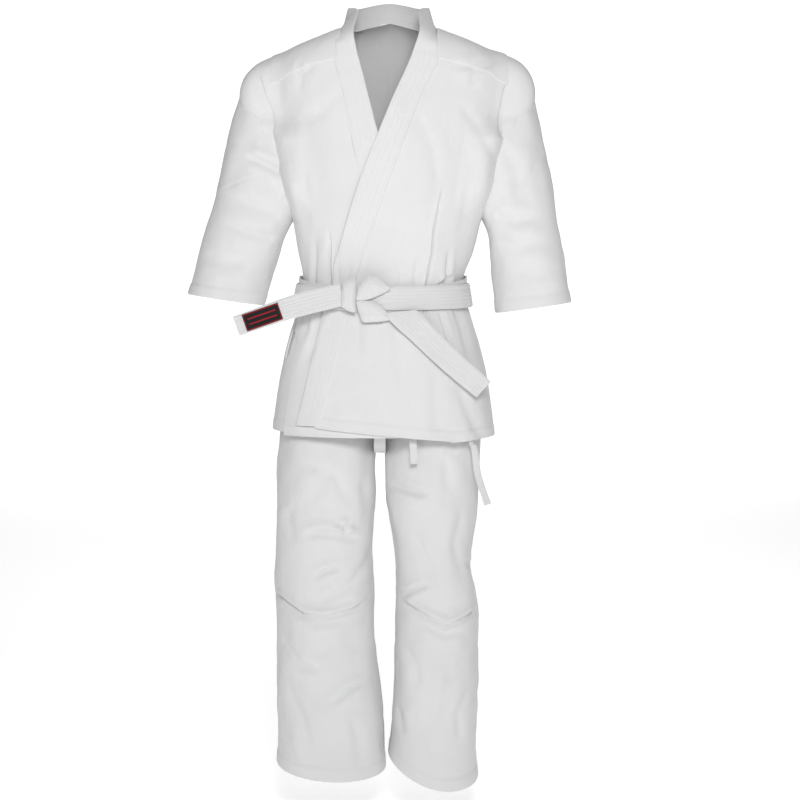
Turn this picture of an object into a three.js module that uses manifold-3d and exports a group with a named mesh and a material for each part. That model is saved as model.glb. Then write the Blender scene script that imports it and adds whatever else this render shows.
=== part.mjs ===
// A karate uniform: wrap jacket, knotted belt and drawstring trousers, as worn.
// Millimetres, +Z up, the front faces -Y and the wearer's left is +X.
// The origin is the centre of the neck opening, level with the points where the shoulders meet the neck.
// Each cloth piece is a closed solid of its own, laid on one of three smooth body shapes.
import * as THREE from 'three';
import { mergeVertices } from 'three/addons/utils/BufferGeometryUtils.js';
import Module from 'manifold-3d';

const wasm = await Module();
wasm.setup();

// ---- Driving dimensions ----------------------------------------------------------------------

const CLOTH = 2; // jacket and trouser cloth, with its seam allowances
const BAND = 3; // lapels and collar, several layers stitched together
const GAP = 0.4; // between pieces that meet edge to edge
const LAYER = 0.9; // between layers that lie on one another
const SEAM_DEG = 0.15; // half of the gap along a side or centre seam, as an angle about the body's axis

// Jacket body: height, centre, half width and half depth of the inner face of the cloth.
const JACKET = [
  [-770, -2, 209, 139],
  [-650, -3, 194, 126],
  [-560, -3, 174, 113],
  [-500, -3, 155, 102],
  [-470, -3, 149, 99],
  [-440, -2, 147, 99],
  [-400, 1, 158, 104],
  [-330, 4, 174, 112],
  [-250, 6, 186, 116],
  [-190, 8, 200, 115],
  [-140, 9, 214, 112],
  [-100, 9, 226, 108],
  [-40, 9, 234, 104],
  [80, 9, 238, 100],
];
const SECTION_POWER = 2.4; // 2 is an ellipse, more is squarer
const NECK_HALF = 80; // half width of the neck at the shoulder seams
const NECK_X = 9;
const SHOULDER_SLOPE = 0.35;
const SHOULDER_ROUND = 62; // how far the shoulder rounds over from front to back
const FAN_Z = -180; // above this height the body is measured along rays that fan out of one point
// The steepest rays meet the neck opening: their elevation in degrees at the front, the sides and the back.
const NECK_RISE = { front: 61, side: 63.5, back: 72 };

// Front edges of the jacket: height and x of the seam between panel and lapel, and of the lapel's free edge.
const LEFT_SEAM = [[0, 97], [-62, 93], [-114, 67], [-170, 45], [-226, 24], [-341, -18], [-442, -51], [-708, -118]];
const LEFT_FREE = [[0, 68], [-55, 48], [-128, 15], [-188, -10], [-262, -40], [-341, -66], [-442, -94], [-708, -159]];
const RIGHT_SEAM = [[0, -88], [-62, -84], [-128, -67], [-214, -51], [-262, -38], [-442, 15], [-708, 85]];
const RIGHT_FREE = [[0, -62], [-62, -43], [-128, -26], [-188, -10], [-262, 12], [-442, 60], [-708, 128]];
const LAPEL_TOP = -50; // the lapels end at the collar here
const OVER_FLAT = 30; // the left front lies level this far past the right lapel
const OVER_EASE = 50; // and comes down to the body over this width

// Hems of the jacket: height at x = 0, and slope along x.
const LEFT_HEM = { z: -723, slope: -0.098 };
const RIGHT_HEM = { z: -727, slope: 0 };
const BACK_HEM = { z: -722, slope: 0 };
const VENT_TOP = -552; // the side vents run from here down to the hem, and the back's skirt hangs from here
const VENT_HALF_DEG = 1.2;

// Shoulders and sleeves. The arm's axis runs from the pivot down to the centre of the sleeve's hem.
const CAP_RADIUS = 70; // rounded shoulder under the sleeve's top seam
const CAP_DEPTH = 58;
const SEAM_RADIUS = 75.6; // the sleeve starts this far from its pivot, and turns about it
const ARMS = {
  left: { pivot: [203, -112], hem: [274, -499], hemTilt: 10, side: 1 },
  right: { pivot: [-190, -118], hem: [-292, -486], hemTilt: -3, side: -1 },
};
const SLEEVE_HALF_WIDTH = 71;
const SLEEVE_HALF_DEPTH = 62;
const ARMHOLE_SHARE = 0.8; // the armhole's size against the sleeve's
const YOKE_THICK = 1.5;
const YOKE_FROM = 98; // from the shoulder's seam at the neck
const YOKE_TO = 170;

// Belt.
const BELT_WIDTH = 42;
const BELT_THICK = 4;
const BELT_EASE = 1.2; // more room under the belt, where the waist is hollow
const TAIL_THICK = 5;
const INNER_WRAP = { front: -484, side: -461, back: -466 }; // heights of the first turn's centre line
const OUTER_WRAP = { front: -480, side: -475, back: -478 };

// Tapes.
const TAPE_WIDTH = 13;
const TAPE_THICK = 1.5;

// Trousers: seat as the jacket, then each leg as height, inner and outer x, half depth, and tilt of that ring.
const SEAT = [
  [-770, -2, 200, 111],
  [-700, -2, 189, 112],
  [-600, -3, 166, 105],
  [-500, -3, 138, 92],
  [-425, -3, 128, 86],
];
const SEAT_BOTTOM = -704;
const WAISTBAND = { top: -428, height: 40, thick: 3 };
const HIP_Z = -745; // the legs swing about this level
const HIP_X = { left: 94, right: -105 };
const HIP_RADIUS = 62; // what reaches above the hip's level stays this near to its axis
const LEG_TOP = -690;
const LEGS = {
  left: [
    [-690, 0, 184, 88, 0],
    [-745, -1, 189, 94, 0],
    [-840, 0, 186, 95, 0],
    [-884, 8, 182, 93, 0],
    [-930, 16, 172, 90, 0],
    [-975, 21, 167, 88, 0],
    [-1047, 21, 176, 88, 0],
    [-1127, 16, 177, 89, -4],
    [-1200, 14, 177, 90, -8],
    [-1290, 10, 177, 91, -14],
    [-1377, 6, 176, 92, -23],
  ],
  right: [
    [-690, -190, -16, 88, 0],
    [-745, -195, -15, 94, 0],
    [-840, -202, -16, 95, 0],
    [-945, -203, -24, 92, 0],
    [-1010, -204, -20, 90, 0],
    [-1080, -205, -18, 90, 0],
    [-1142, -205, -13, 91, 0],
    [-1200, -205, -5, 93, 0],
    [-1277, -205, 2, 95, 0],
    [-1363, -204, 2, 96, -6],
  ],
};

const WHITE = { color: 0xf0f0f0, roughness: 0.85, metalness: 0 };
const BELT_WHITE = { color: 0xececec, roughness: 0.75, metalness: 0 };
const LABEL_BLACK = { color: 0x2a1416, roughness: 0.6, metalness: 0 };

// ---- Small maths -----------------------------------------------------------------------------

const clamp = THREE.MathUtils.clamp;
const smooth = (x, from, to) => {
  const t = clamp((x - from) / (to - from), 0, 1);
  return t * t * (3 - 2 * t);
};
const vec = (x, y, z) => new THREE.Vector3(x, y, z);
const rad = THREE.MathUtils.degToRad;

// The row of a table at a height, with each value on a smooth curve between the rows. Heights may run either way.
function at(table, height) {
  const rows = table[0][0] > table[table.length - 1][0] ? [...table].reverse() : table;
  const z = clamp(height, rows[0][0], rows[rows.length - 1][0]);
  let i = 0;
  while (i < rows.length - 2 && z > rows[i + 1][0]) i++;
  const [p, a, b, n] = [rows[Math.max(i - 1, 0)], rows[i], rows[i + 1], rows[Math.min(i + 2, rows.length - 1)]];
  const span = b[0] - a[0];
  const t = (z - a[0]) / span;
  const slope = (low, high, k) => (high === low ? 0 : (high[k] - low[k]) / (high[0] - low[0]));
  return a.map((from, k) => {
    if (k === 0) return z;
    const start = slope(p, b, k) * span;
    const end = slope(a, n, k) * span;
    const to = b[k];
    return (
      from * (2 * t ** 3 - 3 * t ** 2 + 1) +
      start * (t ** 3 - 2 * t ** 2 + t) +
      to * (3 * t ** 2 - 2 * t ** 3) +
      end * (t ** 3 - t ** 2)
    );
  });
}
const xAt = (edge, z) => at(edge, z)[1];
function neckRise(angle) {
  const front = Math.sin(rad(angle));
  return NECK_RISE.side + front * (front > 0 ? NECK_RISE.front - NECK_RISE.side : NECK_RISE.side - NECK_RISE.back);
}

// ---- The body shape under the jacket ------------------------------------------------------------

// Roughly how far a point is outside a rounded section or cap; negative inside.
function outside(radius, share) {
  return share < 1e-9 ? -radius : radius * (1 - 1 / share);
}
function tubeDistance(table, x, y, z) {
  const [, centre, halfWidth, halfDepth] = at(table, z);
  const n = SECTION_POWER;
  const share = (Math.abs((x - centre) / halfWidth) ** n + Math.abs(y / halfDepth) ** n) ** (1 / n);
  return share < 1e-6 ? -halfDepth : outside(Math.hypot(x - centre, y), share);
}
function capDistance(arm, x, y, z) {
  const r = Math.hypot(x - arm.pivot[0], z - arm.pivot[1]);
  const share = ((r / CAP_RADIUS) ** 4 + Math.abs(y / CAP_DEPTH) ** 4) ** 0.25;
  return share < 1e-6 ? -CAP_DEPTH : outside(Math.hypot(r, y), share);
}
function jacketDistance(x, y, z) {
  const tube = tubeDistance(JACKET, x, y, z);
  const ridge = -SHOULDER_SLOPE * (Math.abs(x - NECK_X) - NECK_HALF);
  const roof = (z - ridge) * 0.94;
  const h = Math.max(SHOULDER_ROUND - Math.abs(tube - roof), 0) / SHOULDER_ROUND;
  const body = Math.max(tube, roof) + (h * h * SHOULDER_ROUND) / 4;
  return Math.min(body, capDistance(ARMS.left, x, y, z), capDistance(ARMS.right, x, y, z));
}
const seatDistance = (x, y, z) => tubeDistance(SEAT, x, y, z);

// The outermost point along a ray that is offset outside a shape.
function cast(distance, origin, direction, offset) {
  const REACH = 420;
  const STEP = 4;
  const f = (t) => distance(origin.x + direction.x * t, origin.y + direction.y * t, origin.z + direction.z * t) - offset;
  let high = REACH;
  while (high > STEP && f(high - STEP) > 0) high -= STEP;
  let low = high - STEP;
  for (let i = 0; i < 24; i++) {
    const middle = (low + high) / 2;
    if (f(middle) > 0) high = middle;
    else low = middle;
  }
  return origin.clone().addScaledVector(direction, (low + high) / 2);
}

// A point on the jacket's body. Below FAN_Z level is millimetres under it, and above it is degrees of elevation.
// The angle is 0 at the wearer's left side, 90 at the front, 180 at the right side.
function bodyPoint(level, angle, offset) {
  const z = FAN_Z + Math.min(level, 0);
  const rise = rad(Math.max(level, 0));
  const direction = vec(Math.cos(rad(angle)) * Math.cos(rise), -Math.sin(rad(angle)) * Math.cos(rise), Math.sin(rise));
  return cast(jacketDistance, vec(at(JACKET, z)[1], 0, z), direction, offset);
}
// The angle at which that level meets a front edge.
function edgeAngle(level, edge, past) {
  let low = 1;
  let high = 179;
  for (let i = 0; i < 26; i++) {
    const middle = (low + high) / 2;
    const p = bodyPoint(level, middle, CLOTH);
    if (p.x > xAt(edge, p.z) + past) low = middle;
    else high = middle;
  }
  return (low + high) / 2;
}
// The point of the jacket's front surface at x and z.
const frontPoint = (x, z, offset) => cast(jacketDistance, vec(x, 0, z), vec(0, -1, 0), offset);

// ---- Solids ----------------------------------------------------------------------------------

// A closed body between two grids of points, with its rims, or closed round when ring is true.
function slab(outer, inner, ring = false) {
  const rows = outer.length;
  const cols = outer[0].length;
  const positions = [...outer.flat(), ...inner.flat()].flatMap((p) => [p.x, p.y, p.z]);
  const index = [];
  const id = (layer, r, c) => layer * rows * cols + r * cols + (c % cols);
  const quad = (a, b, c, d) => index.push(a, b, c, a, c, d);
  const lastCol = ring ? cols : cols - 1;
  for (let r = 0; r < rows - 1; r++) {
    for (let c = 0; c < lastCol; c++) {
      quad(id(0, r, c), id(0, r, c + 1), id(0, r + 1, c + 1), id(0, r + 1, c));
      quad(id(1, r, c), id(1, r + 1, c), id(1, r + 1, c + 1), id(1, r, c + 1));
    }
    if (!ring) {
      quad(id(0, r, 0), id(0, r + 1, 0), id(1, r + 1, 0), id(1, r, 0));
      quad(id(0, r, cols - 1), id(1, r, cols - 1), id(1, r + 1, cols - 1), id(0, r + 1, cols - 1));
    }
  }
  for (let c = 0; c < lastCol; c++) {
    quad(id(0, 0, c), id(1, 0, c), id(1, 0, c + 1), id(0, 0, c + 1));
    quad(id(0, rows - 1, c), id(0, rows - 1, c + 1), id(1, rows - 1, c + 1), id(1, rows - 1, c));
  }
  return facingOut(positions, index);
}
// A closed body through rings of points, with flat ends.
function loft(rings) {
  const cols = rings[0].length;
  const centre = (ring) => ring.reduce((sum, p) => sum.add(p), vec(0, 0, 0)).divideScalar(cols);
  const points = [...rings.flat(), centre(rings[0]), centre(rings[rings.length - 1])];
  const index = [];
  const [first, last] = [points.length - 2, points.length - 1];
  const top = (rings.length - 1) * cols;
  for (let c = 0; c < cols; c++) {
    const d = (c + 1) % cols;
    for (let r = 0; r < rings.length - 1; r++) {
      const [a, b] = [r * cols, (r + 1) * cols];
      index.push(a + c, a + d, b + d, a + c, b + d, b + c);
    }
    index.push(first, d, c, last, top + c, top + d);
  }
  return facingOut(points.flatMap((p) => [p.x, p.y, p.z]), index);
}
function facingOut(positions, index) {
  const p = (i) => vec(positions[3 * i], positions[3 * i + 1], positions[3 * i + 2]);
  let volume = 0;
  for (let i = 0; i < index.length; i += 3) volume += p(index[i]).dot(p(index[i + 1]).cross(p(index[i + 2])));
  if (volume < 0) for (let i = 0; i < index.length; i += 3) [index[i], index[i + 1]] = [index[i + 1], index[i]];
  return new THREE.BufferGeometry()
    .setAttribute('position', new THREE.Float32BufferAttribute(positions, 3))
    .setIndex(index);
}
function solidOf(geometry) {
  const plain = geometry.clone();
  plain.deleteAttribute('normal');
  plain.deleteAttribute('uv');
  const merged = mergeVertices(plain, 1e-3);
  return new wasm.Manifold(
    new wasm.Mesh({
      numProp: 3,
      vertProperties: new Float32Array(merged.attributes.position.array),
      triVerts: new Uint32Array(merged.index.array),
    }),
  );
}
function geometryOf(solid) {
  const mesh = solid.getMesh();
  return new THREE.BufferGeometry()
    .setAttribute('position', new THREE.Float32BufferAttribute(mesh.vertProperties, 3))
    .setIndex([...mesh.triVerts]);
}
// What is left of a piece after the cuts; slivers cut off along an edge fall away.
function cut(geometry, ...cutters) {
  const left = cutters.reduce((solid, cutter) => solid.subtract(solidOf(cutter)), solidOf(geometry));
  const largest = left.decompose().reduce((most, body) => (body.volume() > most.volume() ? body : most));
  return geometryOf(largest);
}
const keep = (geometry, region) => geometryOf(solidOf(geometry).intersect(solidOf(region)));
function boxBetween(low, high) {
  const size = high.map((v, i) => v - low[i]);
  return new THREE.BoxGeometry(...size).translate(...low.map((v, i) => v + size[i] / 2));
}

// A patch of cloth: place(row share, column share, offset) gives its points.
function patch(rows, cols, place, thickness = CLOTH, lift = () => 0) {
  const grid = (extra) =>
    Array.from({ length: rows + 1 }, (_, r) =>
      Array.from({ length: cols + 1 }, (_, c) => place(r / rows, c / cols, lift(r / rows, c / cols) + extra)),
    );
  return slab(grid(thickness), grid(0));
}
// A flat strip along a list of centre points, with a width along one direction and a thickness across it.
function strip(centres, across, normal, widths, thickness) {
  const side = vec(...across).normalize();
  const face = vec(...normal).normalize().multiplyScalar(thickness / 2);
  const layer = (sign) =>
    centres.map((p, i) =>
      [-0.5, 0.5].map((s) => vec(...p).addScaledVector(side, s * widths[i]).addScaledVector(face, sign)),
    );
  return slab(layer(1), layer(-1));
}

// ---- Jacket ----------------------------------------------------------------------------------

const hemAt = (hem, x) => hem.z + hem.slope * x;

// A panel between two edges given as angles, from its hem up to the neck.
const PANEL_HEIGHTS = [-670, -600, -535, -490, -462, -438, -390, -325, -260, -215, FAN_Z];
const PANEL_FAN_ROWS = 8;
function panel(hem, firstAngle, lastAngle, cols, lift = () => 0, thickness = CLOTH) {
  const heights = PANEL_HEIGHTS.filter((z) => z > hem.z + 5);
  const levels = [hem.z, ...heights].map((z) => z - FAN_Z);
  for (let r = 1; r <= PANEL_FAN_ROWS; r++) levels.push((NECK_RISE.front * r) / PANEL_FAN_ROWS);
  const grid = (extra) =>
    levels.map((level, r) => {
      const [from, to] = [firstAngle(level), lastAngle(level)];
      return Array.from({ length: cols + 1 }, (_, c) => {
        const angle = from + ((to - from) * c) / cols;
        const flat = r === 0 ? hemAt(hem, bodyPoint(level, angle, 0).x) - FAN_Z : level;
        const own = level > 0 ? (level * neckRise(angle)) / NECK_RISE.front : flat;
        const p = bodyPoint(own, angle, 0);
        return bodyPoint(own, angle, lift(p) + extra);
      });
    });
  return slab(grid(thickness), grid(0));
}
// The left front lies on the right front's lapel, and comes down to the body beyond it.
const OVER_HEIGHT = BAND + LAYER + 0.2;
const overLift = (p) => OVER_HEIGHT * (1 - smooth(p.x - xAt(RIGHT_FREE, p.z), OVER_FLAT, OVER_FLAT + OVER_EASE));
// All that lies before the body on the far side of a front edge, seen from its own panel.
function beyond(edge, side, shift) {
  const TOP = 40;
  const BOTTOM = -800;
  const STEPS = 42;
  const line = Array.from({ length: STEPS + 1 }, (_, i) => {
    const z = TOP + ((BOTTOM - TOP) * i) / STEPS;
    return new THREE.Vector2(xAt(edge, z) + side * shift, z);
  });
  const shape = new THREE.Shape([...line, new THREE.Vector2(-side * 500, BOTTOM), new THREE.Vector2(-side * 500, TOP)]);
  return new THREE.ExtrudeGeometry(shape, { depth: 300, bevelEnabled: false }).rotateX(Math.PI / 2);
}

// A front panel runs a little past its lapel's seam, and is cut back to it.
const seamAngle = (edge, past) => (level) => edgeAngle(level, edge, past);
const fixed = (angle) => () => angle;
const BACK_WAIST = { z: VENT_TOP, slope: 0 };
const backSkirtTop = VENT_TOP - GAP;
// The four panels of the jacket's body, before their armholes and front edges are cut.
const bodyPanels = (thickness) => ({
  frontLeft: panel(LEFT_HEM, fixed(SEAM_DEG), seamAngle(LEFT_SEAM, -5), 14, overLift, thickness),
  frontRight: panel(RIGHT_HEM, fixed(180 - SEAM_DEG), seamAngle(RIGHT_SEAM, 5), 12, undefined, thickness),
  backLeft: panel(BACK_WAIST, fixed(-SEAM_DEG), fixed(-90 + SEAM_DEG), 10, undefined, thickness),
  backRight: panel(BACK_WAIST, fixed(-90 - SEAM_DEG), fixed(-180 + SEAM_DEG), 10, undefined, thickness),
});
const panels = bodyPanels(CLOTH);
const panelCutters = Object.values(bodyPanels(CLOTH + LAYER));

function armFrame(arm) {
  const pivot = vec(arm.pivot[0], 0, arm.pivot[1]);
  const hem = vec(arm.hem[0], 0, arm.hem[1]);
  const along = hem.clone().sub(pivot);
  const length = along.length();
  along.divideScalar(length);
  return { pivot, along, length, across: vec(-along.z, 0, along.x) };
}
// A tapered elliptical loft along an arm, from one distance to another, with its last ring tilted like the hem.
function armLoft(arm, from, to, halfWidth, halfDepth, tilt = 0) {
  const { pivot, along, across } = armFrame(arm);
  const COLS = 24;
  const ROWS = 4;
  const rings = [];
  for (let r = 0; r <= ROWS; r++) {
    const s = from + ((to - from) * r) / ROWS;
    rings.push(
      Array.from({ length: COLS }, (_, c) => {
        const a = (c / COLS) * 2 * Math.PI;
        const lean = tilt * Math.cos(a) * smooth(r, 0, ROWS);
        return pivot
          .clone()
          .addScaledVector(along, s + lean)
          .addScaledVector(across, halfWidth * Math.cos(a))
          .add(vec(0, halfDepth * Math.sin(a), 0));
      }),
    );
  }
  return loft(rings);
}
function hingeBarrel(arm, radius) {
  return new THREE.CylinderGeometry(radius, radius, 400, 40).translate(arm.pivot[0], 0, arm.pivot[1]);
}
// The jacket's body as one closed solid, grown by an offset, to cut the sleeves with.
function bodySolid(offset) {
  const COLS = 60;
  const levels = [-200, -145, -80, -35, 0, 12, 24, 36, 48, NECK_RISE.front];
  return loft(levels.map((level) => Array.from({ length: COLS }, (_, c) => bodyPoint(level, (360 * c) / COLS, offset))));
}

const bodyCutter = bodySolid(CLOTH + LAYER);
function sleeve(arm) {
  const { length } = armFrame(arm);
  const outer = armLoft(arm, 5, length, SLEEVE_HALF_WIDTH, SLEEVE_HALF_DEPTH, arm.hemTilt);
  const inner = armLoft(arm, -5, length + 40, SLEEVE_HALF_WIDTH - CLOTH, SLEEVE_HALF_DEPTH - CLOTH);
  return cut(outer, inner, bodyCutter, ...panelCutters, hingeBarrel(arm, SEAM_RADIUS));
}
const armholes = Object.values(ARMS).map((arm) =>
  armLoft(arm, 25, 122, SLEEVE_HALF_WIDTH * ARMHOLE_SHARE, SLEEVE_HALF_DEPTH * ARMHOLE_SHARE),
);

// A band on the jacket's front between two edges, from one height down to another.
function frontBand(seam, free, side, hem, lift) {
  const ROWS = 18;
  const band = patch(
    ROWS,
    2,
    (v, u, offset) => {
      const bottom = hemAt(hem, xAt(free, hem.z));
      const z = LAPEL_TOP + (bottom - LAPEL_TOP) * v;
      const x = THREE.MathUtils.lerp(xAt(seam, z) + side * 2, xAt(free, z), u);
      return frontPoint(x, z, offset + lift(vec(x, 0, z)));
    },
    BAND,
  );
  return keep(band, beyond(seam, side, 0));
}

// The collar, from one lapel's top round the back of the neck to the other. It stands up at the back.
const COLLAR_WIDTH = 40;
const COLLAR_CLEAR_DEG = 1.2; // between its seam and the neck's edge
function collar() {
  const top = LAPEL_TOP + GAP;
  const front = (edge, z, inset = 0) => frontPoint(xAt(edge, z) - inset, z, 0);
  const neck = (angle) => bodyPoint(neckRise(angle) + COLLAR_CLEAR_DEG, angle, 0);
  const around = [22, -8, -35, -62, -90, -118, -145, -172, -202];
  const seamLine = [
    front(LEFT_SEAM, top, 2),
    front(LEFT_SEAM, -26, 2),
    ...around.map(neck),
    front(RIGHT_SEAM, -26, -2),
    front(RIGHT_SEAM, top, -2),
  ];
  const stand = around.map((angle, i) => {
    const back = smooth(-Math.sin(rad(angle)), -0.5, 0.4);
    const inward = vec(-Math.cos(rad(angle)), 0.4 * Math.sin(rad(angle)), 0).multiplyScalar(0.62 * (1 - back) + 0.12);
    const width = inward.add(vec(0, -0.16, 0.72 + 0.2 * back)).normalize().multiplyScalar(COLLAR_WIDTH);
    return seamLine[i + 2].clone().add(width);
  });
  const shoulder = (edge, side) => front(edge, -26).add(vec(-side * 34, -4, 17));
  const freeLine = [front(LEFT_FREE, top), shoulder(LEFT_SEAM, 1), ...stand, shoulder(RIGHT_SEAM, -1), front(RIGHT_FREE, top)];
  const curve = (points) => new THREE.CatmullRomCurve3(points).getPoints(36);
  const [seam, free] = [curve(seamLine), curve(freeLine)];
  const outward = seam.map((p, i) => {
    const [before, after] = [seam[Math.max(i - 1, 0)], seam[Math.min(i + 1, seam.length - 1)]];
    const face = after.clone().sub(before).cross(free[i].clone().sub(p)).normalize();
    return face.dot(p.clone().sub(vec(NECK_X, 0, -60))) < 0 ? face.negate() : face;
  });
  const layer = (depth) => seam.map((p, i) => [p, free[i]].map((q) => q.clone().addScaledVector(outward[i], depth)));
  return slab(layer(BAND), layer(0));
}

// The reinforcing yoke over one shoulder, from the chest over the ridge to the back.
function yoke(side) {
  const from = NECK_X + side * YOKE_FROM;
  const to = NECK_X + side * YOKE_TO;
  return patch(
    4,
    14,
    (v, u, offset) => {
      const slant = rad(44 + 96 * u);
      const direction = vec(0, -Math.cos(slant), Math.sin(slant));
      return cast(jacketDistance, vec(from + (to - from) * v, 0, -160), direction, CLOTH + LAYER + 0.3 + offset);
    },
    YOKE_THICK,
  );
}

const jacketParts = {
  jacket_front_left: cut(panels.frontLeft, beyond(LEFT_SEAM, 1, GAP), ...armholes),
  jacket_front_right: cut(panels.frontRight, beyond(RIGHT_SEAM, -1, GAP), ...armholes),
  jacket_back_left: cut(panels.backLeft, ...armholes),
  jacket_back_right: cut(panels.backRight, ...armholes),
  lapel_left: frontBand(LEFT_SEAM, LEFT_FREE, 1, LEFT_HEM, overLift),
  lapel_right: frontBand(RIGHT_SEAM, RIGHT_FREE, -1, RIGHT_HEM, () => 0),
  collar: collar(),
  yoke_left: yoke(1),
  yoke_right: yoke(-1),
  sleeve_left: sleeve(ARMS.left),
  sleeve_right: sleeve(ARMS.right),
};
for (const [name, from, to] of [
  ['back_skirt_left', -VENT_HALF_DEG, -90 + SEAM_DEG],
  ['back_skirt_right', -90 - SEAM_DEG, -180 + VENT_HALF_DEG],
])
  jacketParts[name] = patch(5, 8, (v, u, offset) =>
    bodyPoint(backSkirtTop + (BACK_HEM.z - backSkirtTop) * v - FAN_Z, from + (to - from) * u, offset),
  );

// ---- Belt ------------------------------------------------------------------------------------

// The belt clears the wrapped fronts, and lies close on the back.
const beltLift = (angle) => {
  const front = Math.sin(rad(angle));
  return CLOTH + LAYER + BELT_EASE + (OVER_HEIGHT + BAND - CLOTH) * smooth(front, 0.05, 0.5);
};
const BELT_FRONT_LIFT = beltLift(90);
function wrap(heights, lift) {
  const COLS = 48;
  const layer = (offset) =>
    [0.5, 0.17, -0.17, -0.5].map((edge) =>
      Array.from({ length: COLS }, (_, c) => {
        const angle = (360 * c) / COLS;
        const front = Math.sin(rad(angle));
        const z = heights.side + (front > 0 ? heights.front - heights.side : heights.side - heights.back) * front;
        return bodyPoint(z + edge * BELT_WIDTH - FAN_Z, angle, beltLift(angle) + lift + offset);
      }),
    );
  return slab(layer(BELT_THICK), layer(0), true);
}
const BELT_LOW = OUTER_WRAP.front - BELT_WIDTH / 2;
const KNOT_BACK = frontPoint(-3, BELT_LOW, BELT_FRONT_LIFT + 2 * BELT_THICK + 3 * LAYER).y;
// A knot piece: an outline in x and z, between two depths in front of the belt.
function knotPiece(outline, near, far) {
  const shape = new THREE.Shape(outline.map(([x, z]) => new THREE.Vector2(x, z)));
  return new THREE.ExtrudeGeometry(shape, { depth: near - far, bevelEnabled: false })
    .rotateX(Math.PI / 2)
    .translate(0, KNOT_BACK - far, 0);
}
const LOOP_LEFT = -72;
const ROOT_WIDTH = 3; // a hinged end narrows to this at its root
const knotUpper = [[-49, -483], [-44, -458], [-30, -441], [-14, -441], [12, -463], [-24, -481]];
const knotLower = [[-49, -485], [-24, -483.5], [-6, -492], [8, -508], [8, -519], [-36, -522], [-43, -508]];
const knotLoop = [[-49.6, -447], [LOOP_LEFT, -451], [LOOP_LEFT, -494], [-62, -500], [-50.5, -512], [-49.6, -482]];

const TAIL_FACE = KNOT_BACK - 3;
const RIGHT_TAIL = [
  [LOOP_LEFT - 2 * GAP, TAIL_FACE, -472.5],
  [-101, TAIL_FACE, -479],
  [-160, TAIL_FACE + 2, -494],
  [-262, TAIL_FACE + 6, -529],
];
const LABEL_FACE = 0.8;

// The other tail leaves below the knot and slopes down over the skirt.
const LEFT_TAIL = [
  [8.6, KNOT_BACK - 6, -519],
  [70, KNOT_BACK - 8, -561],
  [125, KNOT_BACK - 2, -600],
  [180, KNOT_BACK + 12, -640],
];
const LEFT_TAIL_SLOPE = [0.66, 0, 0.75];

const beltParts = {
  belt_inner_wrap: wrap(INNER_WRAP, 0),
  belt_outer_wrap: wrap(OUTER_WRAP, BELT_THICK + LAYER),
  belt_knot_upper: knotPiece(knotUpper, 10, 0),
  belt_knot_lower: knotPiece(knotLower, 10, 0),
  belt_knot_loop: knotPiece(knotLoop, 14, 0),
  belt_tail_right: strip(RIGHT_TAIL, [0, 0, 1], [0, 1, 0], [ROOT_WIDTH, BELT_WIDTH, 40, 38], TAIL_THICK),
  belt_tail_left: strip(LEFT_TAIL, LEFT_TAIL_SLOPE, [0, 1, 0], [BELT_WIDTH, BELT_WIDTH, BELT_WIDTH, 38], TAIL_THICK),
  belt_label: strip(
    [[-183, TAIL_FACE + 3 - TAIL_THICK / 2 - 1.2, -501.5], [-247, TAIL_FACE + 5.5 - TAIL_THICK / 2 - 1.2, -523.5]],
    [0, 0, 1],
    [0, 1, 0],
    [31, 31],
    LABEL_FACE,
  ),
};

// ---- Tapes -----------------------------------------------------------------------------------

// A tape that lies on the jacket, or inside it, at one angle from one height down to another.
function tape(angle, top, bottom, offset, drift = 0) {
  const ROWS = 5;
  const around = (z, side) => (side * TAPE_WIDTH * 90) / (Math.PI * at(JACKET, z)[3]);
  return patch(
    ROWS,
    1,
    (v, u, extra) => {
      const z = top + (bottom - top) * v;
      return bodyPoint(z - FAN_Z, angle + drift * v + around(z, 0.5 - u), offset + extra);
    },
    TAPE_THICK,
  );
}
const OUTER_TIE = { angle: 166, top: -504, bottom: -590 };
// The inner tie is sewn inside the left front, and its end hangs below the hem.
const INNER_TIE = { angle: 31, top: -560 };
const innerTieFoot = bodyPoint(HIP_Z - FAN_Z, INNER_TIE.angle, -3).toArray();
const innerTieEnd = strip(
  [
    [innerTieFoot[0], innerTieFoot[1], HIP_Z - GAP],
    [innerTieFoot[0] + 2, innerTieFoot[1] - 3, HIP_Z - TAPE_WIDTH],
    [innerTieFoot[0] + 7, innerTieFoot[1] - 9, -798],
    [innerTieFoot[0] + 26, innerTieFoot[1] - 18, -850],
  ],
  [1, 0.25, 0],
  [0.25, -1, 0],
  [ROOT_WIDTH, TAPE_WIDTH, TAPE_WIDTH, TAPE_WIDTH],
  TAPE_THICK,
);
// The drawstring leaves the waistband at the front; the left end shows below the jacket.
const stringAt = (x, z) => cast(seatDistance, vec(x, 0, z), vec(0, -1, 0), CLOTH + LAYER + 2).toArray();
const waistFront = WAISTBAND.top - WAISTBAND.height;
function drawstring(x, bottom) {
  const STEPS = 8;
  const top = waistFront - GAP;
  const points = Array.from({ length: STEPS + 1 }, (_, i) =>
    stringAt(x + (8 * i) / STEPS, top + ((bottom - top) * i) / STEPS),
  );
  return strip(points, [1, 0, 0], [0, 1, 0], points.map(() => TAPE_WIDTH), TAPE_THICK);
}
const STRING_LEFT_X = 44;
const stringEndTop = stringAt(STRING_LEFT_X + 8, HIP_Z + 2);
const stringEnd = strip(
  [
    [stringEndTop[0], stringEndTop[1], HIP_Z - GAP],
    [stringEndTop[0] + 1, stringEndTop[1] + 1, HIP_Z - TAPE_WIDTH],
    [stringEndTop[0] + 2, stringEndTop[1] + 3, -776],
  ],
  [1, 0, 0],
  [0, 1, 0],
  [ROOT_WIDTH, TAPE_WIDTH, TAPE_WIDTH],
  TAPE_THICK,
);
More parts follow.
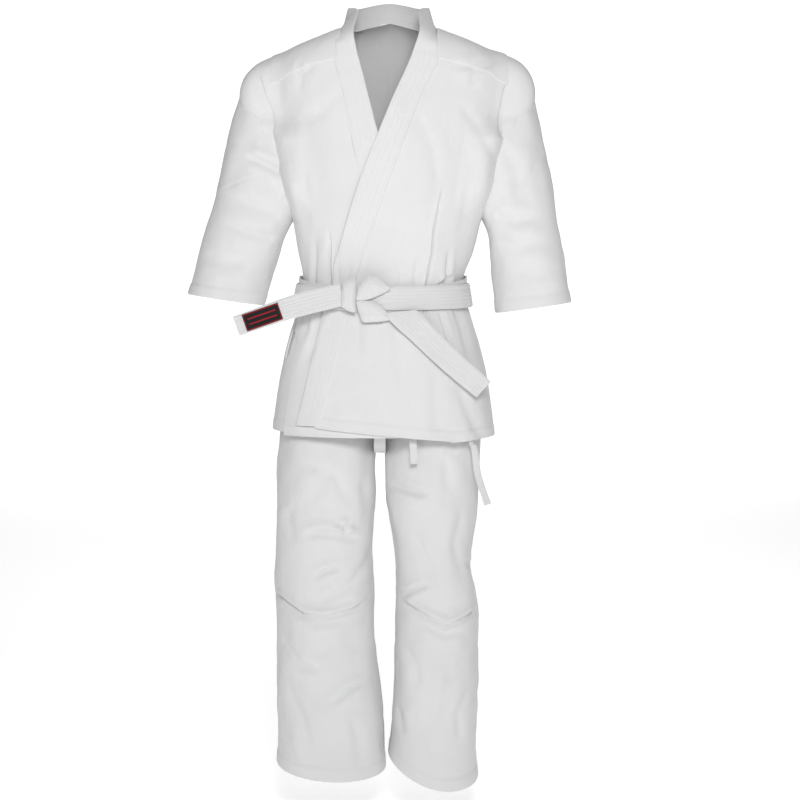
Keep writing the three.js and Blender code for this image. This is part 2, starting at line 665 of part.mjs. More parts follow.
const tapeParts = {
  tie_right_outer: tape(OUTER_TIE.angle, OUTER_TIE.top, OUTER_TIE.bottom, CLOTH + LAYER),
  tie_left_inner: tape(INNER_TIE.angle, INNER_TIE.top, HIP_Z + GAP, -TAPE_THICK - LAYER),
  tie_left_inner_end: innerTieEnd,
  drawstring_left: drawstring(STRING_LEFT_X, HIP_Z + GAP),
  drawstring_left_end: stringEnd,
  drawstring_right: drawstring(-34, -690),
};

// ---- Trousers --------------------------------------------------------------------------------

function seatRing(z, offset, cols) {
  return Array.from({ length: cols }, (_, c) => {
    const a = (c / cols) * 2 * Math.PI;
    return cast(seatDistance, vec(at(SEAT, z)[1], 0, z), vec(Math.cos(a), -Math.sin(a), 0), offset);
  });
}
function seatShell(top, bottom, innerOffset, outerOffset, rows) {
  const COLS = 28;
  const layer = (offset) => Array.from({ length: rows + 1 }, (_, r) => seatRing(top + ((bottom - top) * r) / rows, offset, COLS));
  return slab(layer(outerOffset), layer(innerOffset), true);
}
const FAR = 600;
const frontHalf = boxBetween([-FAR, -FAR, -2000], [FAR, -GAP / 2, 400]);
const backHalf = boxBetween([-FAR, GAP / 2, -2000], [FAR, FAR, 400]);

function legLoft(table, offset, extend) {
  const COLS = 22;
  const ROWS = 9;
  const bottom = table[table.length - 1][0];
  const rings = [];
  for (let r = 0; r <= ROWS; r++) {
    const z = LEG_TOP + ((bottom - LEG_TOP) * r) / ROWS;
    const [, inner, outer, halfDepth, tilt] = at(table, z);
    const centre = (inner + outer) / 2;
    const half = (outer - inner) / 2;
    const past = r === 0 ? extend : r === ROWS ? -extend : 0;
    rings.push(
      Array.from({ length: COLS }, (_, c) => {
        const a = (c / COLS) * 2 * Math.PI;
        const share = (v) => Math.sign(v) * Math.abs(v) ** (2 / 2.2);
        const x = centre + (half + offset) * share(Math.cos(a));
        return vec(x, -(halfDepth + offset) * share(Math.sin(a)), z + (tilt * (x - centre)) / half + past);
      }),
    );
  }
  return loft(rings);
}
// A leg's cloth. Above the hip's level only what lies inside the hip's radius is kept, so that it can swing.
function leg(table, hipX) {
  const shell = cut(legLoft(table, 0, 0), legLoft(table, -CLOTH, 30));
  const solid = solidOf(shell);
  const above = solidOf(boxBetween([-FAR, -FAR, HIP_Z], [FAR, FAR, 0]));
  const barrel = solidOf(new THREE.CylinderGeometry(HIP_RADIUS, HIP_RADIUS, 400, 40).translate(hipX, 0, HIP_Z));
  return geometryOf(solid.subtract(above.subtract(barrel)));
}
// The strip of cloth between the legs, which joins the front of the seat to its back.
function crotchGusset() {
  const WIDTH = 9;
  const DROP = 62;
  const reach = at(SEAT, SEAT_BOTTOM)[3] + CLOTH / 2;
  const ROWS = 14;
  const points = Array.from({ length: ROWS + 1 }, (_, i) => {
    const a = Math.PI * (i / ROWS);
    return [-8, -reach * Math.cos(a), SEAT_BOTTOM - GAP - DROP * Math.sin(a)];
  });
  const layer = (depth) =>
    points.map(([x, y, z]) => [-WIDTH / 2, WIDTH / 2].map((s) => vec(x + s, y, z - depth)));
  return slab(layer(CLOTH), layer(0));
}

const seat = seatShell(waistFront + 30, SEAT_BOTTOM, 0, CLOTH, 6);
const band = seatShell(WAISTBAND.top, waistFront, CLOTH + LAYER, CLOTH + LAYER + WAISTBAND.thick, 2);
const trouserParts = {
  trouser_seat_front: keep(seat, frontHalf),
  trouser_seat_back: keep(seat, backHalf),
  waistband_front: keep(band, frontHalf),
  waistband_back: keep(band, backHalf),
  crotch_gusset: crotchGusset(),
};
for (const [side, table] of Object.entries(LEGS)) {
  const shell = leg(table, HIP_X[side]);
  trouserParts[`trouser_${side}_front`] = keep(shell, frontHalf);
  trouserParts[`trouser_${side}_back`] = keep(shell, backHalf);
}

// ---- The uniform -----------------------------------------------------------------------------

function garment(parts, finish) {
  const group = new THREE.Group();
  const cloth = new THREE.MeshStandardMaterial(finish);
  for (const [name, geometry] of Object.entries(parts)) {
    const mesh = new THREE.Mesh(geometry, name === 'belt_label' ? new THREE.MeshStandardMaterial(LABEL_BLACK) : cloth);
    mesh.name = name;
    group.add(mesh);
  }
  return group;
}

const uniform = new THREE.Group();
uniform.add(garment(jacketParts, WHITE), garment(beltParts, BELT_WHITE), garment(tapeParts, WHITE), garment(trouserParts, WHITE));
export default uniform;
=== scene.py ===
# A karate uniform in white cotton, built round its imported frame: jacket, belt, tapes and trousers.
# Lengths are in millimetres until a mesh is made. +Z is up, the front faces -Y, +X is the wearer's left.
import bpy
import math
import numpy as np
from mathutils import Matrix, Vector


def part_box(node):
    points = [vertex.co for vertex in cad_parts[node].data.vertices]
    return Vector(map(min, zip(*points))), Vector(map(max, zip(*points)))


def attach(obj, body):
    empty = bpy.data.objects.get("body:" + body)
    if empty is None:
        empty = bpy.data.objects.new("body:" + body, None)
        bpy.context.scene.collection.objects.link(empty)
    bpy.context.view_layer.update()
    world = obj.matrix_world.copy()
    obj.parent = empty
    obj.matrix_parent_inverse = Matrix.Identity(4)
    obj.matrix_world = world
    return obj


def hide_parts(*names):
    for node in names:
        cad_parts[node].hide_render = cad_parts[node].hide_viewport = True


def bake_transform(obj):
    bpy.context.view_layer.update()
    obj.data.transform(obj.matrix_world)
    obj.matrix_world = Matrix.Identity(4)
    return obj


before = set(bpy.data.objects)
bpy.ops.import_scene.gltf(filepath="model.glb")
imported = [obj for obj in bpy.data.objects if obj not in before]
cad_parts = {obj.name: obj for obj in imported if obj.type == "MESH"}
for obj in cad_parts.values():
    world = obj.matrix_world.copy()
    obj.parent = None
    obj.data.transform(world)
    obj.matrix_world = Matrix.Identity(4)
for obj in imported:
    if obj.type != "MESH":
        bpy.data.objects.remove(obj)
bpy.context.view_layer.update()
MM = 0.001

# ---- Camera, floor and light ---------------------------------------------------------------------

camera = bpy.data.objects.new("camera", bpy.data.cameras.new("camera"))
bpy.context.scene.collection.objects.link(camera)
camera.data.lens = 73.1
camera.data.sensor_width = 36
camera.location = (0.0286, -3.0, -0.408)
aim = Vector((0.0286, -0.110, -0.661)) - camera.location
camera.rotation_euler = aim.to_track_quat("-Z", "Y").to_euler()
camera.data.clip_end = 60
bpy.context.scene.camera = camera


def plain(name, color, roughness):
    material = bpy.data.materials.new(name)
    material.use_nodes = True
    shader = material.node_tree.nodes["Principled BSDF"]
    shader.inputs["Base Color"].default_value = (*color, 1)
    shader.inputs["Roughness"].default_value = roughness
    return material


def glowing(name, level, glow):
    material = plain(name, (level, level, level), 0.9)
    shader = material.node_tree.nodes["Principled BSDF"]
    shader.inputs["Emission Color"].default_value = (1, 1, 1, 1)
    shader.inputs["Emission Strength"].default_value = glow
    return material


def stage_sheet(name, outline, half_width, material):
    """A piece of the studio: an outline in y and z, drawn out to both sides."""
    verts = [(s * half_width, y, z) for y, z in outline for s in (-1, 1)]
    faces = [(2 * i, 2 * i + 1, 2 * i + 3, 2 * i + 2) for i in range(len(outline) - 1)]
    mesh = bpy.data.meshes.new(name)
    mesh.from_pydata(verts, [], faces)
    mesh.shade_smooth()
    mesh.materials.append(material)
    sheet = bpy.data.objects.new(name, mesh)
    bpy.context.scene.collection.objects.link(sheet)


FLOOR_LEVEL, WALL_Y, CURVE = -1.452, 5.0, 1.0
bend = [(WALL_Y - CURVE + CURVE * math.sin(a), FLOOR_LEVEL + CURVE - CURVE * math.cos(a))
        for a in np.linspace(0, math.pi / 2, 13)]
stage_sheet("floor", [(-5.0, FLOOR_LEVEL), bend[0]], 4.2, glowing("floor_paper", 0.95, 0.42))
stage_sheet("wall", [*bend, (WALL_Y, 2.6)], 2.6, glowing("wall_paper", 0.95, 0.75))


def area_light(name, location, target, size, power):
    data = bpy.data.lights.new(name, "AREA")
    data.shape = "RECTANGLE"
    data.size, data.size_y = size
    data.energy = power
    light = bpy.data.objects.new(name, data)
    bpy.context.scene.collection.objects.link(light)
    light.location = location
    light.rotation_euler = (Vector(target) - Vector(location)).to_track_quat("-Z", "Y").to_euler()


area_light("key", (0.14, -2.3, 0.22), (0, 0, -0.38), (0.5, 0.5), 27)
area_light("fill", (-1.5, -2.6, 0.1), (0, 0, -0.5), (0.7, 1.0), 4)
area_light("back_light", (0.4, 2.0, 1.2), (0, 0.4, -0.6), (2.4, 1.6), 22)
world = bpy.data.worlds.new("studio")
bpy.context.scene.world = world
world.use_nodes = True
world.node_tree.nodes["Background"].inputs["Color"].default_value = (1, 1, 1, 1)
world.node_tree.nodes["Background"].inputs["Strength"].default_value = 0.27
bpy.context.scene.view_settings.view_transform = "Standard"

# ---- The body shapes, as in the CAD model ---------------------------------------------------------

JACKET = [
    (-770, -2, 209, 139), (-650, -3, 194, 126), (-560, -3, 174, 113), (-500, -3, 155, 102),
    (-470, -3, 149, 99), (-440, -2, 147, 99), (-400, 1, 158, 104), (-330, 4, 174, 112),
    (-250, 6, 186, 116), (-190, 8, 200, 115), (-140, 9, 214, 112), (-100, 9, 226, 108),
    (-40, 9, 234, 104), (80, 9, 238, 100),
]
SEAT = [
    (-770, -2, 200, 111), (-700, -2, 189, 112), (-600, -3, 166, 105),
    (-500, -3, 138, 92), (-425, -3, 128, 86),
]
LEFT_SEAM = [(0, 97), (-62, 93), (-114, 67), (-170, 45), (-226, 24), (-341, -18), (-442, -51), (-708, -118)]
LEFT_FREE = [(0, 68), (-55, 48), (-128, 15), (-188, -10), (-262, -40), (-341, -66), (-442, -94), (-708, -159)]
RIGHT_SEAM = [(0, -88), (-62, -84), (-128, -67), (-214, -51), (-262, -38), (-442, 15), (-708, 85)]
RIGHT_FREE = [(0, -62), (-62, -43), (-128, -26), (-188, -10), (-262, 12), (-442, 60), (-708, 128)]
NECK_X, NECK_HALF = 9, 80
SHOULDER_SLOPE, SHOULDER_ROUND = 0.35, 62
FAN_Z = -180
CLOTH, BAND, LAYER = 2.0, 3.0, 0.9
OVER_HEIGHT = BAND + LAYER + 0.2
LAPEL_TOP = -50.0
ARMS = {
    "left": dict(pivot=(203, -112), hem=(274, -499), tilt=10, side=1),
    "right": dict(pivot=(-190, -118), hem=(-292, -486), tilt=-3, side=-1),
}


def table(rows, z):
    """Each value of a table at the heights z, on a smooth curve between its rows."""
    rows = np.array(sorted(rows), float)
    zs = rows[:, 0]
    z = np.clip(np.asarray(z, float), zs[0], zs[-1])
    i = np.clip(np.searchsorted(zs, z, side="right") - 1, 0, len(zs) - 2)
    slopes = np.empty_like(rows)
    slopes[1:-1] = (rows[2:] - rows[:-2]) / (zs[2:] - zs[:-2])[:, None]
    slopes[0] = (rows[1] - rows[0]) / (zs[1] - zs[0])
    slopes[-1] = (rows[-1] - rows[-2]) / (zs[-1] - zs[-2])
    span = (zs[i + 1] - zs[i])[..., None]
    t = (z - zs[i])[..., None] / span
    value = (rows[i] * (2 * t**3 - 3 * t**2 + 1) + slopes[i] * span * (t**3 - 2 * t**2 + t)
             + rows[i + 1] * (3 * t**2 - 2 * t**3) + slopes[i + 1] * span * (t**3 - t**2))
    return [value[..., k] for k in range(1, rows.shape[1])]


def smooth(x, low, high):
    t = np.clip((np.asarray(x, float) - low) / (high - low), 0, 1)
    return t * t * (3 - 2 * t)


def bump(x, width):
    """1 at x = 0, falling away to both sides over this width."""
    return np.exp(-((x / width) ** 2))


def outside(radius, share):
    return radius * (1 - 1 / np.maximum(share, 1e-3))


def tube(rows, x, y, z):
    centre, half, depth = table(rows, z)
    share = (np.abs((x - centre) / half) ** 2.4 + np.abs(y / depth) ** 2.4) ** (1 / 2.4)
    return outside(np.hypot(x - centre, y), share)


def cap(arm, x, y, z):
    r = np.hypot(x - arm["pivot"][0], z - arm["pivot"][1])
    share = ((r / 70) ** 4 + np.abs(y / 58) ** 4) ** 0.25
    return outside(np.hypot(r, y), share)


def torso(x, y, z):
    side = tube(JACKET, x, y, z)
    roof = (z + SHOULDER_SLOPE * (np.abs(x - NECK_X) - NECK_HALF)) * 0.94
    h = np.maximum(SHOULDER_ROUND - np.abs(side - roof), 0) / SHOULDER_ROUND
    return np.maximum(side, roof) + h * h * SHOULDER_ROUND / 4


def jacket_shape(x, y, z):
    body = torso(x, y, z)
    for arm in ARMS.values():
        d = cap(arm, x, y, z)
        h = np.maximum(16 - np.abs(body - d), 0) / 16
        body = np.minimum(body, d) - h * h * 4
    return body


def seat_shape(x, y, z):
    return tube(SEAT, x, y, z)


def cast(shape, origin, direction, offset):
    """The outermost point of a shape along each ray, offset outside it."""
    origin, direction = np.broadcast_arrays(np.asarray(origin, float), np.asarray(direction, float))
    offset = np.broadcast_to(offset, origin.shape[:-1])

    def f(t):
        p = origin + direction * t[..., None]
        return shape(p[..., 0], p[..., 1], p[..., 2]) - offset

    high = np.full(origin.shape[:-1], 400.0)
    for _ in range(40):
        inside = f(high - 10) <= 0
        high = np.where(inside, high, high - 10)
        if inside.all():
            break
    low = high - 10
    for _ in range(14):
        middle = (low + high) / 2
        out = f(middle) > 0
        high = np.where(out, middle, high)
        low = np.where(out, low, middle)
    return origin + direction * ((low + high) / 2)[..., None]


def body_point(level, angle, offset):
    """A point on the jacket's body: level is a height below FAN_Z, and above it the degrees of a fan."""
    level, angle = np.broadcast_arrays(np.asarray(level, float), np.asarray(angle, float))
    z = FAN_Z + np.minimum(level, 0)
    rise = np.radians(np.maximum(level, 0))
    a = np.radians(angle)
    direction = np.stack([np.cos(a) * np.cos(rise), -np.sin(a) * np.cos(rise), np.sin(rise)], -1)
    origin = np.stack([table(JACKET, z)[0], 0 * z, z], -1)
    return cast(jacket_shape, origin, direction, offset)


def front_point(x, z, offset):
    x, z = np.broadcast_arrays(np.asarray(x, float), np.asarray(z, float))
    return cast(jacket_shape, np.stack([x, 0 * x, z], -1), np.array([0, -1.0, 0]), offset)


def edge_angle(level, edge):
    """The angle at which the front crosses an edge, at each level."""
    low, high = np.full(len(level), 1.0), np.full(len(level), 179.0)
    for _ in range(22):
        middle = (low + high) / 2
        p = body_point(level, middle, CLOTH)
        right = p[:, 0] > table(edge, p[:, 2])[0]
        low = np.where(right, middle, low)
        high = np.where(right, high, middle)
    return (low + high) / 2


def neck_rise(angle):
    front = np.sin(np.radians(angle))
    return 63.5 + front * np.where(front > 0, -2.5, -8.5)


# ---- Cloth detail -----------------------------------------------------------------------------------

def noise(p, scale, seed):
    """Smooth noise from -1 to 1 at points p, with a size in mm along each axis."""
    q = p / np.asarray(scale, float) + 100 * seed + 1000
    base = np.floor(q).astype(np.int64)
    f = q - base
    f = f * f * (3 - 2 * f)
    total = 0
    for corner in range(8):
        bits = np.array([corner & 1, corner >> 1 & 1, corner >> 2 & 1])
        c = base + bits
        h = (c[..., 0] * 73856093 ^ c[..., 1] * 19349663 ^ c[..., 2] * 83492791) & 0xFFFFFFFF
        h = (h ^ (h >> 13)) * 1274126177 & 0xFFFFFFFF
        h = (h ^ (h >> 16)) & 0xFFFF
        weight = np.prod(np.where(bits, f, 1 - f), axis=-1)
        total = total + weight * (h / 32767.5 - 1)
    return total


def crumple(p, size, seed):
    """Sharp shallow creases between smooth facets, as in cotton that has been folded."""
    n = noise(p, size, seed)
    m = noise(p, np.asarray(size, float) * 0.63, seed + 3)
    return 0.65 * (1 - np.abs(n)) ** 3 + 0.35 * (1 - np.abs(m)) ** 3


def along_path(x, z, path):
    """Signed distance from a path and the share of its length, for each point."""
    path = np.array(path, float)
    pieces = np.diff(path, axis=0)
    lengths = np.hypot(pieces[:, 0], pieces[:, 1])
    total = lengths.sum()
    best = np.full(np.shape(x), 1e9)
    signed, share = np.zeros(np.shape(x)), np.zeros(np.shape(x))
    done = 0.0
    for start, piece, length in zip(path[:-1], pieces, lengths):
        t = ((x - start[0]) * piece[0] + (z - start[1]) * piece[1]) / length**2
        tc = np.clip(t, 0, 1)
        dx, dz = x - start[0] - tc * piece[0], z - start[1] - tc * piece[1]
        d = np.hypot(dx, dz)
        near = d < best
        side = np.sign(piece[0] * dz - piece[1] * dx)
        best = np.where(near, d, best)
        signed = np.where(near, side * d, signed)
        share = np.where(near, (done + tc * length) / total, share)
        done += length
    return signed, share


def fold(x, z, path, depth, width, lip=0.45, fade=(0.25, 0.25)):
    """A crease along a path: a narrow valley with a soft ridge on each side.

    lip is the height of both ridges, or a pair for one and the other.
    """
    s, t = along_path(x, z, path)
    strength = 1.0
    if fade[0]:
        strength = strength * smooth(t, 0, fade[0])
    if fade[1]:
        strength = strength * (1 - smooth(t, 1 - fade[1], 1))
    left, right = lip if isinstance(lip, tuple) else (lip, lip)
    valley = -bump(s, width)
    ridge = left * bump(s - 2.1 * width, 1.5 * width)
    ridge = ridge + right * bump(s + 2.1 * width, 1.5 * width)
    return depth * strength * (valley + ridge)


def folds(x, z, entries):
    return sum(fold(x, z, *entry[:3], **(entry[3] if len(entry) > 3 else {})) for entry in entries)


CHEST_FOLDS = [
    ([(-238, -60), (-224, -112), (-213, -150), (-198, -205)], 4.4, 7.0,
     dict(lip=(0.1, 0.3), fade=(0.25, 0.1))),
    ([(232, -78), (216, -150), (203, -196)], 4.4, 7.0, dict(lip=(0.3, 0.1), fade=(0.25, 0.1))),
    ([(-134, -200), (-145, -312), (-130, -390)], 2.0, 9),
    ([(-176, -250), (-168, -330), (-150, -400)], 2.2, 9),
    ([(-99, -350), (-96, -400), (-95, -462)], 10.0, 2.8, dict(lip=(0.5, 0.0), fade=(0.6, 0))),
    ([(-104, -330), (-108, -400), (-108, -462)], -3.0, 8, dict(lip=(0, 0), fade=(0.6, 0))),
    ([(-84, -380), (-80, -462)], 3.0, 3.6, dict(fade=(0.7, 0))),
    ([(-122, -360), (-127, -462)], 4.0, 4, dict(fade=(0.6, 0))),
    ([(-60, -400), (-64, -458)], 2.0, 5, dict(fade=(0.6, 0))),
    ([(108, -270), (98, -321), (89, -360), (86, -400), (80, -427), (74, -464)], 10.0, 2.8,
     dict(lip=(0.0, 0.5), fade=(0.5, 0))),
    ([(92, -462), (128, -438)], 5, 3),
    ([(60, -400), (56, -458)], 2.4, 5, dict(fade=(0.6, 0))),
    ([(118, -380), (112, -462)], 4.0, 4, dict(fade=(0.6, 0))),
    ([(20, -420), (24, -458)], 1.8, 4, dict(fade=(0.6, 0))),
    ([(205, -45), (164, -79), (150, -108)], 3.0, 7, dict(lip=(0.8, 0.3))),
    ([(190, -58), (150, -72), (118, -70)], 1.8, 6),
    ([(-118, -66), (-148, -84), (-152, -120)], 1.6, 7),
    ([(-148, -58), (-152, -78)], 2.2, 5),
    ([(-175, -55), (-190, -90), (-186, -140)], 1.8, 9),
    ([(160, -200), (150, -290), (138, -380)], 1.8, 10),
    ([(40, -330), (30, -400), (20, -450)], 1.3, 9),
    ([(-60, -100), (-110, -150), (-160, -170)], 1.3, 10),
    ([(130, -130), (170, -180), (190, -240)], 1.9, 10),
    ([(-185, -215), (-150, -260), (-120, -330)], 1.8, 9),
    ([(60, -150), (90, -230), (96, -300)], 1.4, 9),
]
SKIRT_FOLDS = [
    ([(70, -500), (76, -510), (90, -542)], 10.0, 3.2, dict(lip=(0.2, 0.8), fade=(0, 0.6))),
    ([(100, -502), (116, -553), (134, -572)], 5.0, 3.4, dict(fade=(0.1, 0.5))),
    ([(128, -610), (153, -680), (185, -735)], 3.0, 10, dict(fade=(0.3, 0))),
    ([(20, -510), (30, -600), (34, -700)], 2.0, 10, dict(fade=(0, 0.4))),
    ([(-50, -505), (-40, -610)], 2.4, 7, dict(fade=(0, 0.6))),
    ([(-10, -510), (-4, -580)], 1.8, 6, dict(fade=(0, 0.6))),
    ([(-108, -500), (-126, -560), (-150, -620)], 4.5, 6, dict(lip=(0.1, 0.7), fade=(0, 0.6))),
    ([(-135, -500), (-140, -560)], 3.2, 6, dict(fade=(0, 0.6))),
    ([(130, -500), (148, -560), (160, -620)], 3.2, 7, dict(fade=(0, 0.6))),
    ([(90, -600), (96, -720)], 1.8, 10),
    ([(-100, -600), (-90, -700)], 1.6, 10),
]
BACK_FOLDS = [
    ([(-70, -150), (-60, -280), (-30, -440)], 3.0, 16),
    ([(86, -160), (70, -300), (40, -440)], 3.0, 16),
    ([(-120, -250), (-105, -350), (-85, -450)], 4.0, 10, dict(fade=(0.5, 0))),
    ([(130, -250), (110, -350), (95, -450)], 4.0, 10, dict(fade=(0.5, 0))),
    ([(10, -330), (14, -450)], 3.0, 9, dict(fade=(0.6, 0))),
    ([(-60, -500), (-66, -560), (-74, -640)], 4.5, 9, dict(fade=(0, 0.5))),
    ([(-110, -500), (-122, -580)], 3.5, 9, dict(fade=(0, 0.5))),
    ([(60, -500), (70, -570), (80, -650)], 4.5, 9, dict(fade=(0, 0.5))),
    ([(115, -500), (126, -590)], 3.5, 9, dict(fade=(0, 0.5))),
    ([(5, -500), (0, -590)], 3.0, 8, dict(fade=(0, 0.5))),
    ([(-150, -70), (-90, -110), (-30, -120)], 2.0, 14),
    ([(170, -70), (110, -110), (50, -120)], 2.0, 14),
]


FINE = (9, 9, 14)  # the smallest unevenness of the cloth
WAIST_Z = -470


def jacket_detail(p):
    """How far the cloth stands off the plain body shape at points p, in mm."""
    x, y, z = p[..., 0], p[..., 1], p[..., 2]
    front = smooth(-y, -8, 30)
    d = front * (folds(x, z, CHEST_FOLDS) + folds(x, z, SKIRT_FOLDS)) + (1 - front) * folds(x, z, BACK_FOLDS)
    d = d + 1.9 * noise(p, (70, 70, 150), 1) + 0.9 * noise(p, (24, 24, 50), 2)
    d = d + 0.22 * noise(p, FINE, 3)
    d = d - 1.5 * crumple(p, (70, 70, 100), 5)
    # The belt gathers the cloth above and below it.
    gather = bump(z - WAIST_Z, 52)
    d = d + 1.5 * gather * noise(p, (17, 17, 300), 7) * smooth(np.abs(z - WAIST_Z), 16, 40)
    return d


# ---- Meshes -------------------------------------------------------------------------------------------

def unit(v):
    return v / np.maximum(np.linalg.norm(v, axis=-1, keepdims=True), 1e-9)


def normals(grid, ring):
    if ring:
        across = np.roll(grid, -1, 1) - np.roll(grid, 1, 1)
    else:
        across = np.gradient(grid, axis=1)
    return unit(np.cross(np.gradient(grid, axis=0), across))


def outward(grid, centre, ring=False):
    """The normals turned away from a centre line, given as a point for each row or one for all."""
    n = normals(grid, ring)
    out = ((grid - centre) * n).sum(-1).mean()
    return n if out > 0 else -n


def forward(grid):
    """The normals turned to the front."""
    n = normals(grid, False)
    return n if n[..., 1].mean() < 0 else -n


def run_along(points, axis=0):
    """Distance along one axis of a grid of points, from 0 at its start."""
    steps = np.cumsum(np.linalg.norm(np.diff(points, axis=axis), axis=-1), axis)
    return np.concatenate([np.zeros_like(np.take(steps, [0], axis)), steps], axis)


def lengths_along(grid):
    """Distance along each column and across each row, in metres, for the weave and the stitches."""
    return run_along(grid) * MM, run_along(grid, 1) * MM


def cloth(name, grid, n, thickness, material, ring=False, uv=None):
    """A closed piece of cloth: its outer face is grid, and n its outward normals."""
    rows, cols = grid.shape[:2]
    inner = grid - n * np.asarray(thickness)[..., None] if np.ndim(thickness) else grid - n * thickness
    verts = np.concatenate([grid.reshape(-1, 3), inner.reshape(-1, 3)]) * MM
    r = np.arange(rows - 1)[:, None]
    c = np.arange(cols if ring else cols - 1)[None, :]
    d = (c + 1) % cols
    layer = rows * cols

    def quads(a, b, e, f):
        return np.stack(np.broadcast_arrays(a, b, e, f), -1).reshape(-1, 4)

    top = quads(r * cols + c, r * cols + d, (r + 1) * cols + d, (r + 1) * cols + c)
    test = np.cross(verts[top[:, 1]] - verts[top[:, 0]], verts[top[:, 2]] - verts[top[:, 0]])
    flip = (test * n.reshape(-1, 3)[top[:, 0]]).sum() < 0
    faces = [top, top[:, ::-1] + layer]
    c0 = c[0]
    d0 = d[0]
    faces.append(quads(c0, c0 + layer, d0 + layer, d0))
    last = (rows - 1) * cols
    faces.append(quads(last + d0, last + d0 + layer, last + c0 + layer, last + c0))
    if not ring:
        r0 = r[:, 0] * cols
        faces.append(quads(r0 + cols, r0 + cols + layer, r0 + layer, r0))
        e0 = r0 + cols - 1
        faces.append(quads(e0, e0 + layer, e0 + cols + layer, e0 + cols))
    faces = np.concatenate(faces)
    if flip:
        faces = faces[:, ::-1]
    mesh = bpy.data.meshes.new(name)
    mesh.vertices.add(len(verts))
    mesh.vertices.foreach_set("co", verts.astype(np.float32).ravel())
    mesh.loops.add(len(faces) * 4)
    mesh.loops.foreach_set("vertex_index", faces.astype(np.int32).ravel())
    mesh.polygons.add(len(faces))
    mesh.polygons.foreach_set("loop_start", (np.arange(len(faces)) * 4).astype(np.int32))
    mesh.polygons.foreach_set("loop_total", np.full(len(faces), 4, np.int32))
    mesh.update(calc_edges=True)
    mesh.validate()
    mesh.shade_smooth()
    mesh.set_sharp_from_angle(angle=math.radians(60))
    down, over = uv if uv is not None else lengths_along(grid)
    flat = np.stack([over.ravel(), down.ravel()], -1)
    flat = np.concatenate([flat, flat])
    index = np.empty(len(mesh.loops), np.int32)
    mesh.loops.foreach_get("vertex_index", index)
    mesh.uv_layers.new(name="cloth").data.foreach_set("uv", flat[index].astype(np.float32).ravel())
    mesh.materials.append(material)
    piece = bpy.data.objects.new(name, mesh)
    bpy.context.scene.collection.objects.link(piece)
    return piece


def curve(points, count):
    """A smooth curve through points, at even shares of its length."""
    p = np.array(points, float)
    gaps = np.sqrt(np.linalg.norm(np.diff(p, axis=0), axis=1))
    knots = np.concatenate([[0], np.cumsum(gaps)])
    rows = np.concatenate([knots[:, None], p], 1)
    dense = np.stack(table([tuple(row) for row in rows], np.linspace(0, knots[-1], 40 * len(p))), -1)
    run = run_along(dense)
    want = np.linspace(0, run[-1], count)
    return np.stack([np.interp(want, run, dense[:, k]) for k in range(p.shape[1])], -1)


# ---- Materials ----------------------------------------------------------------------------------------

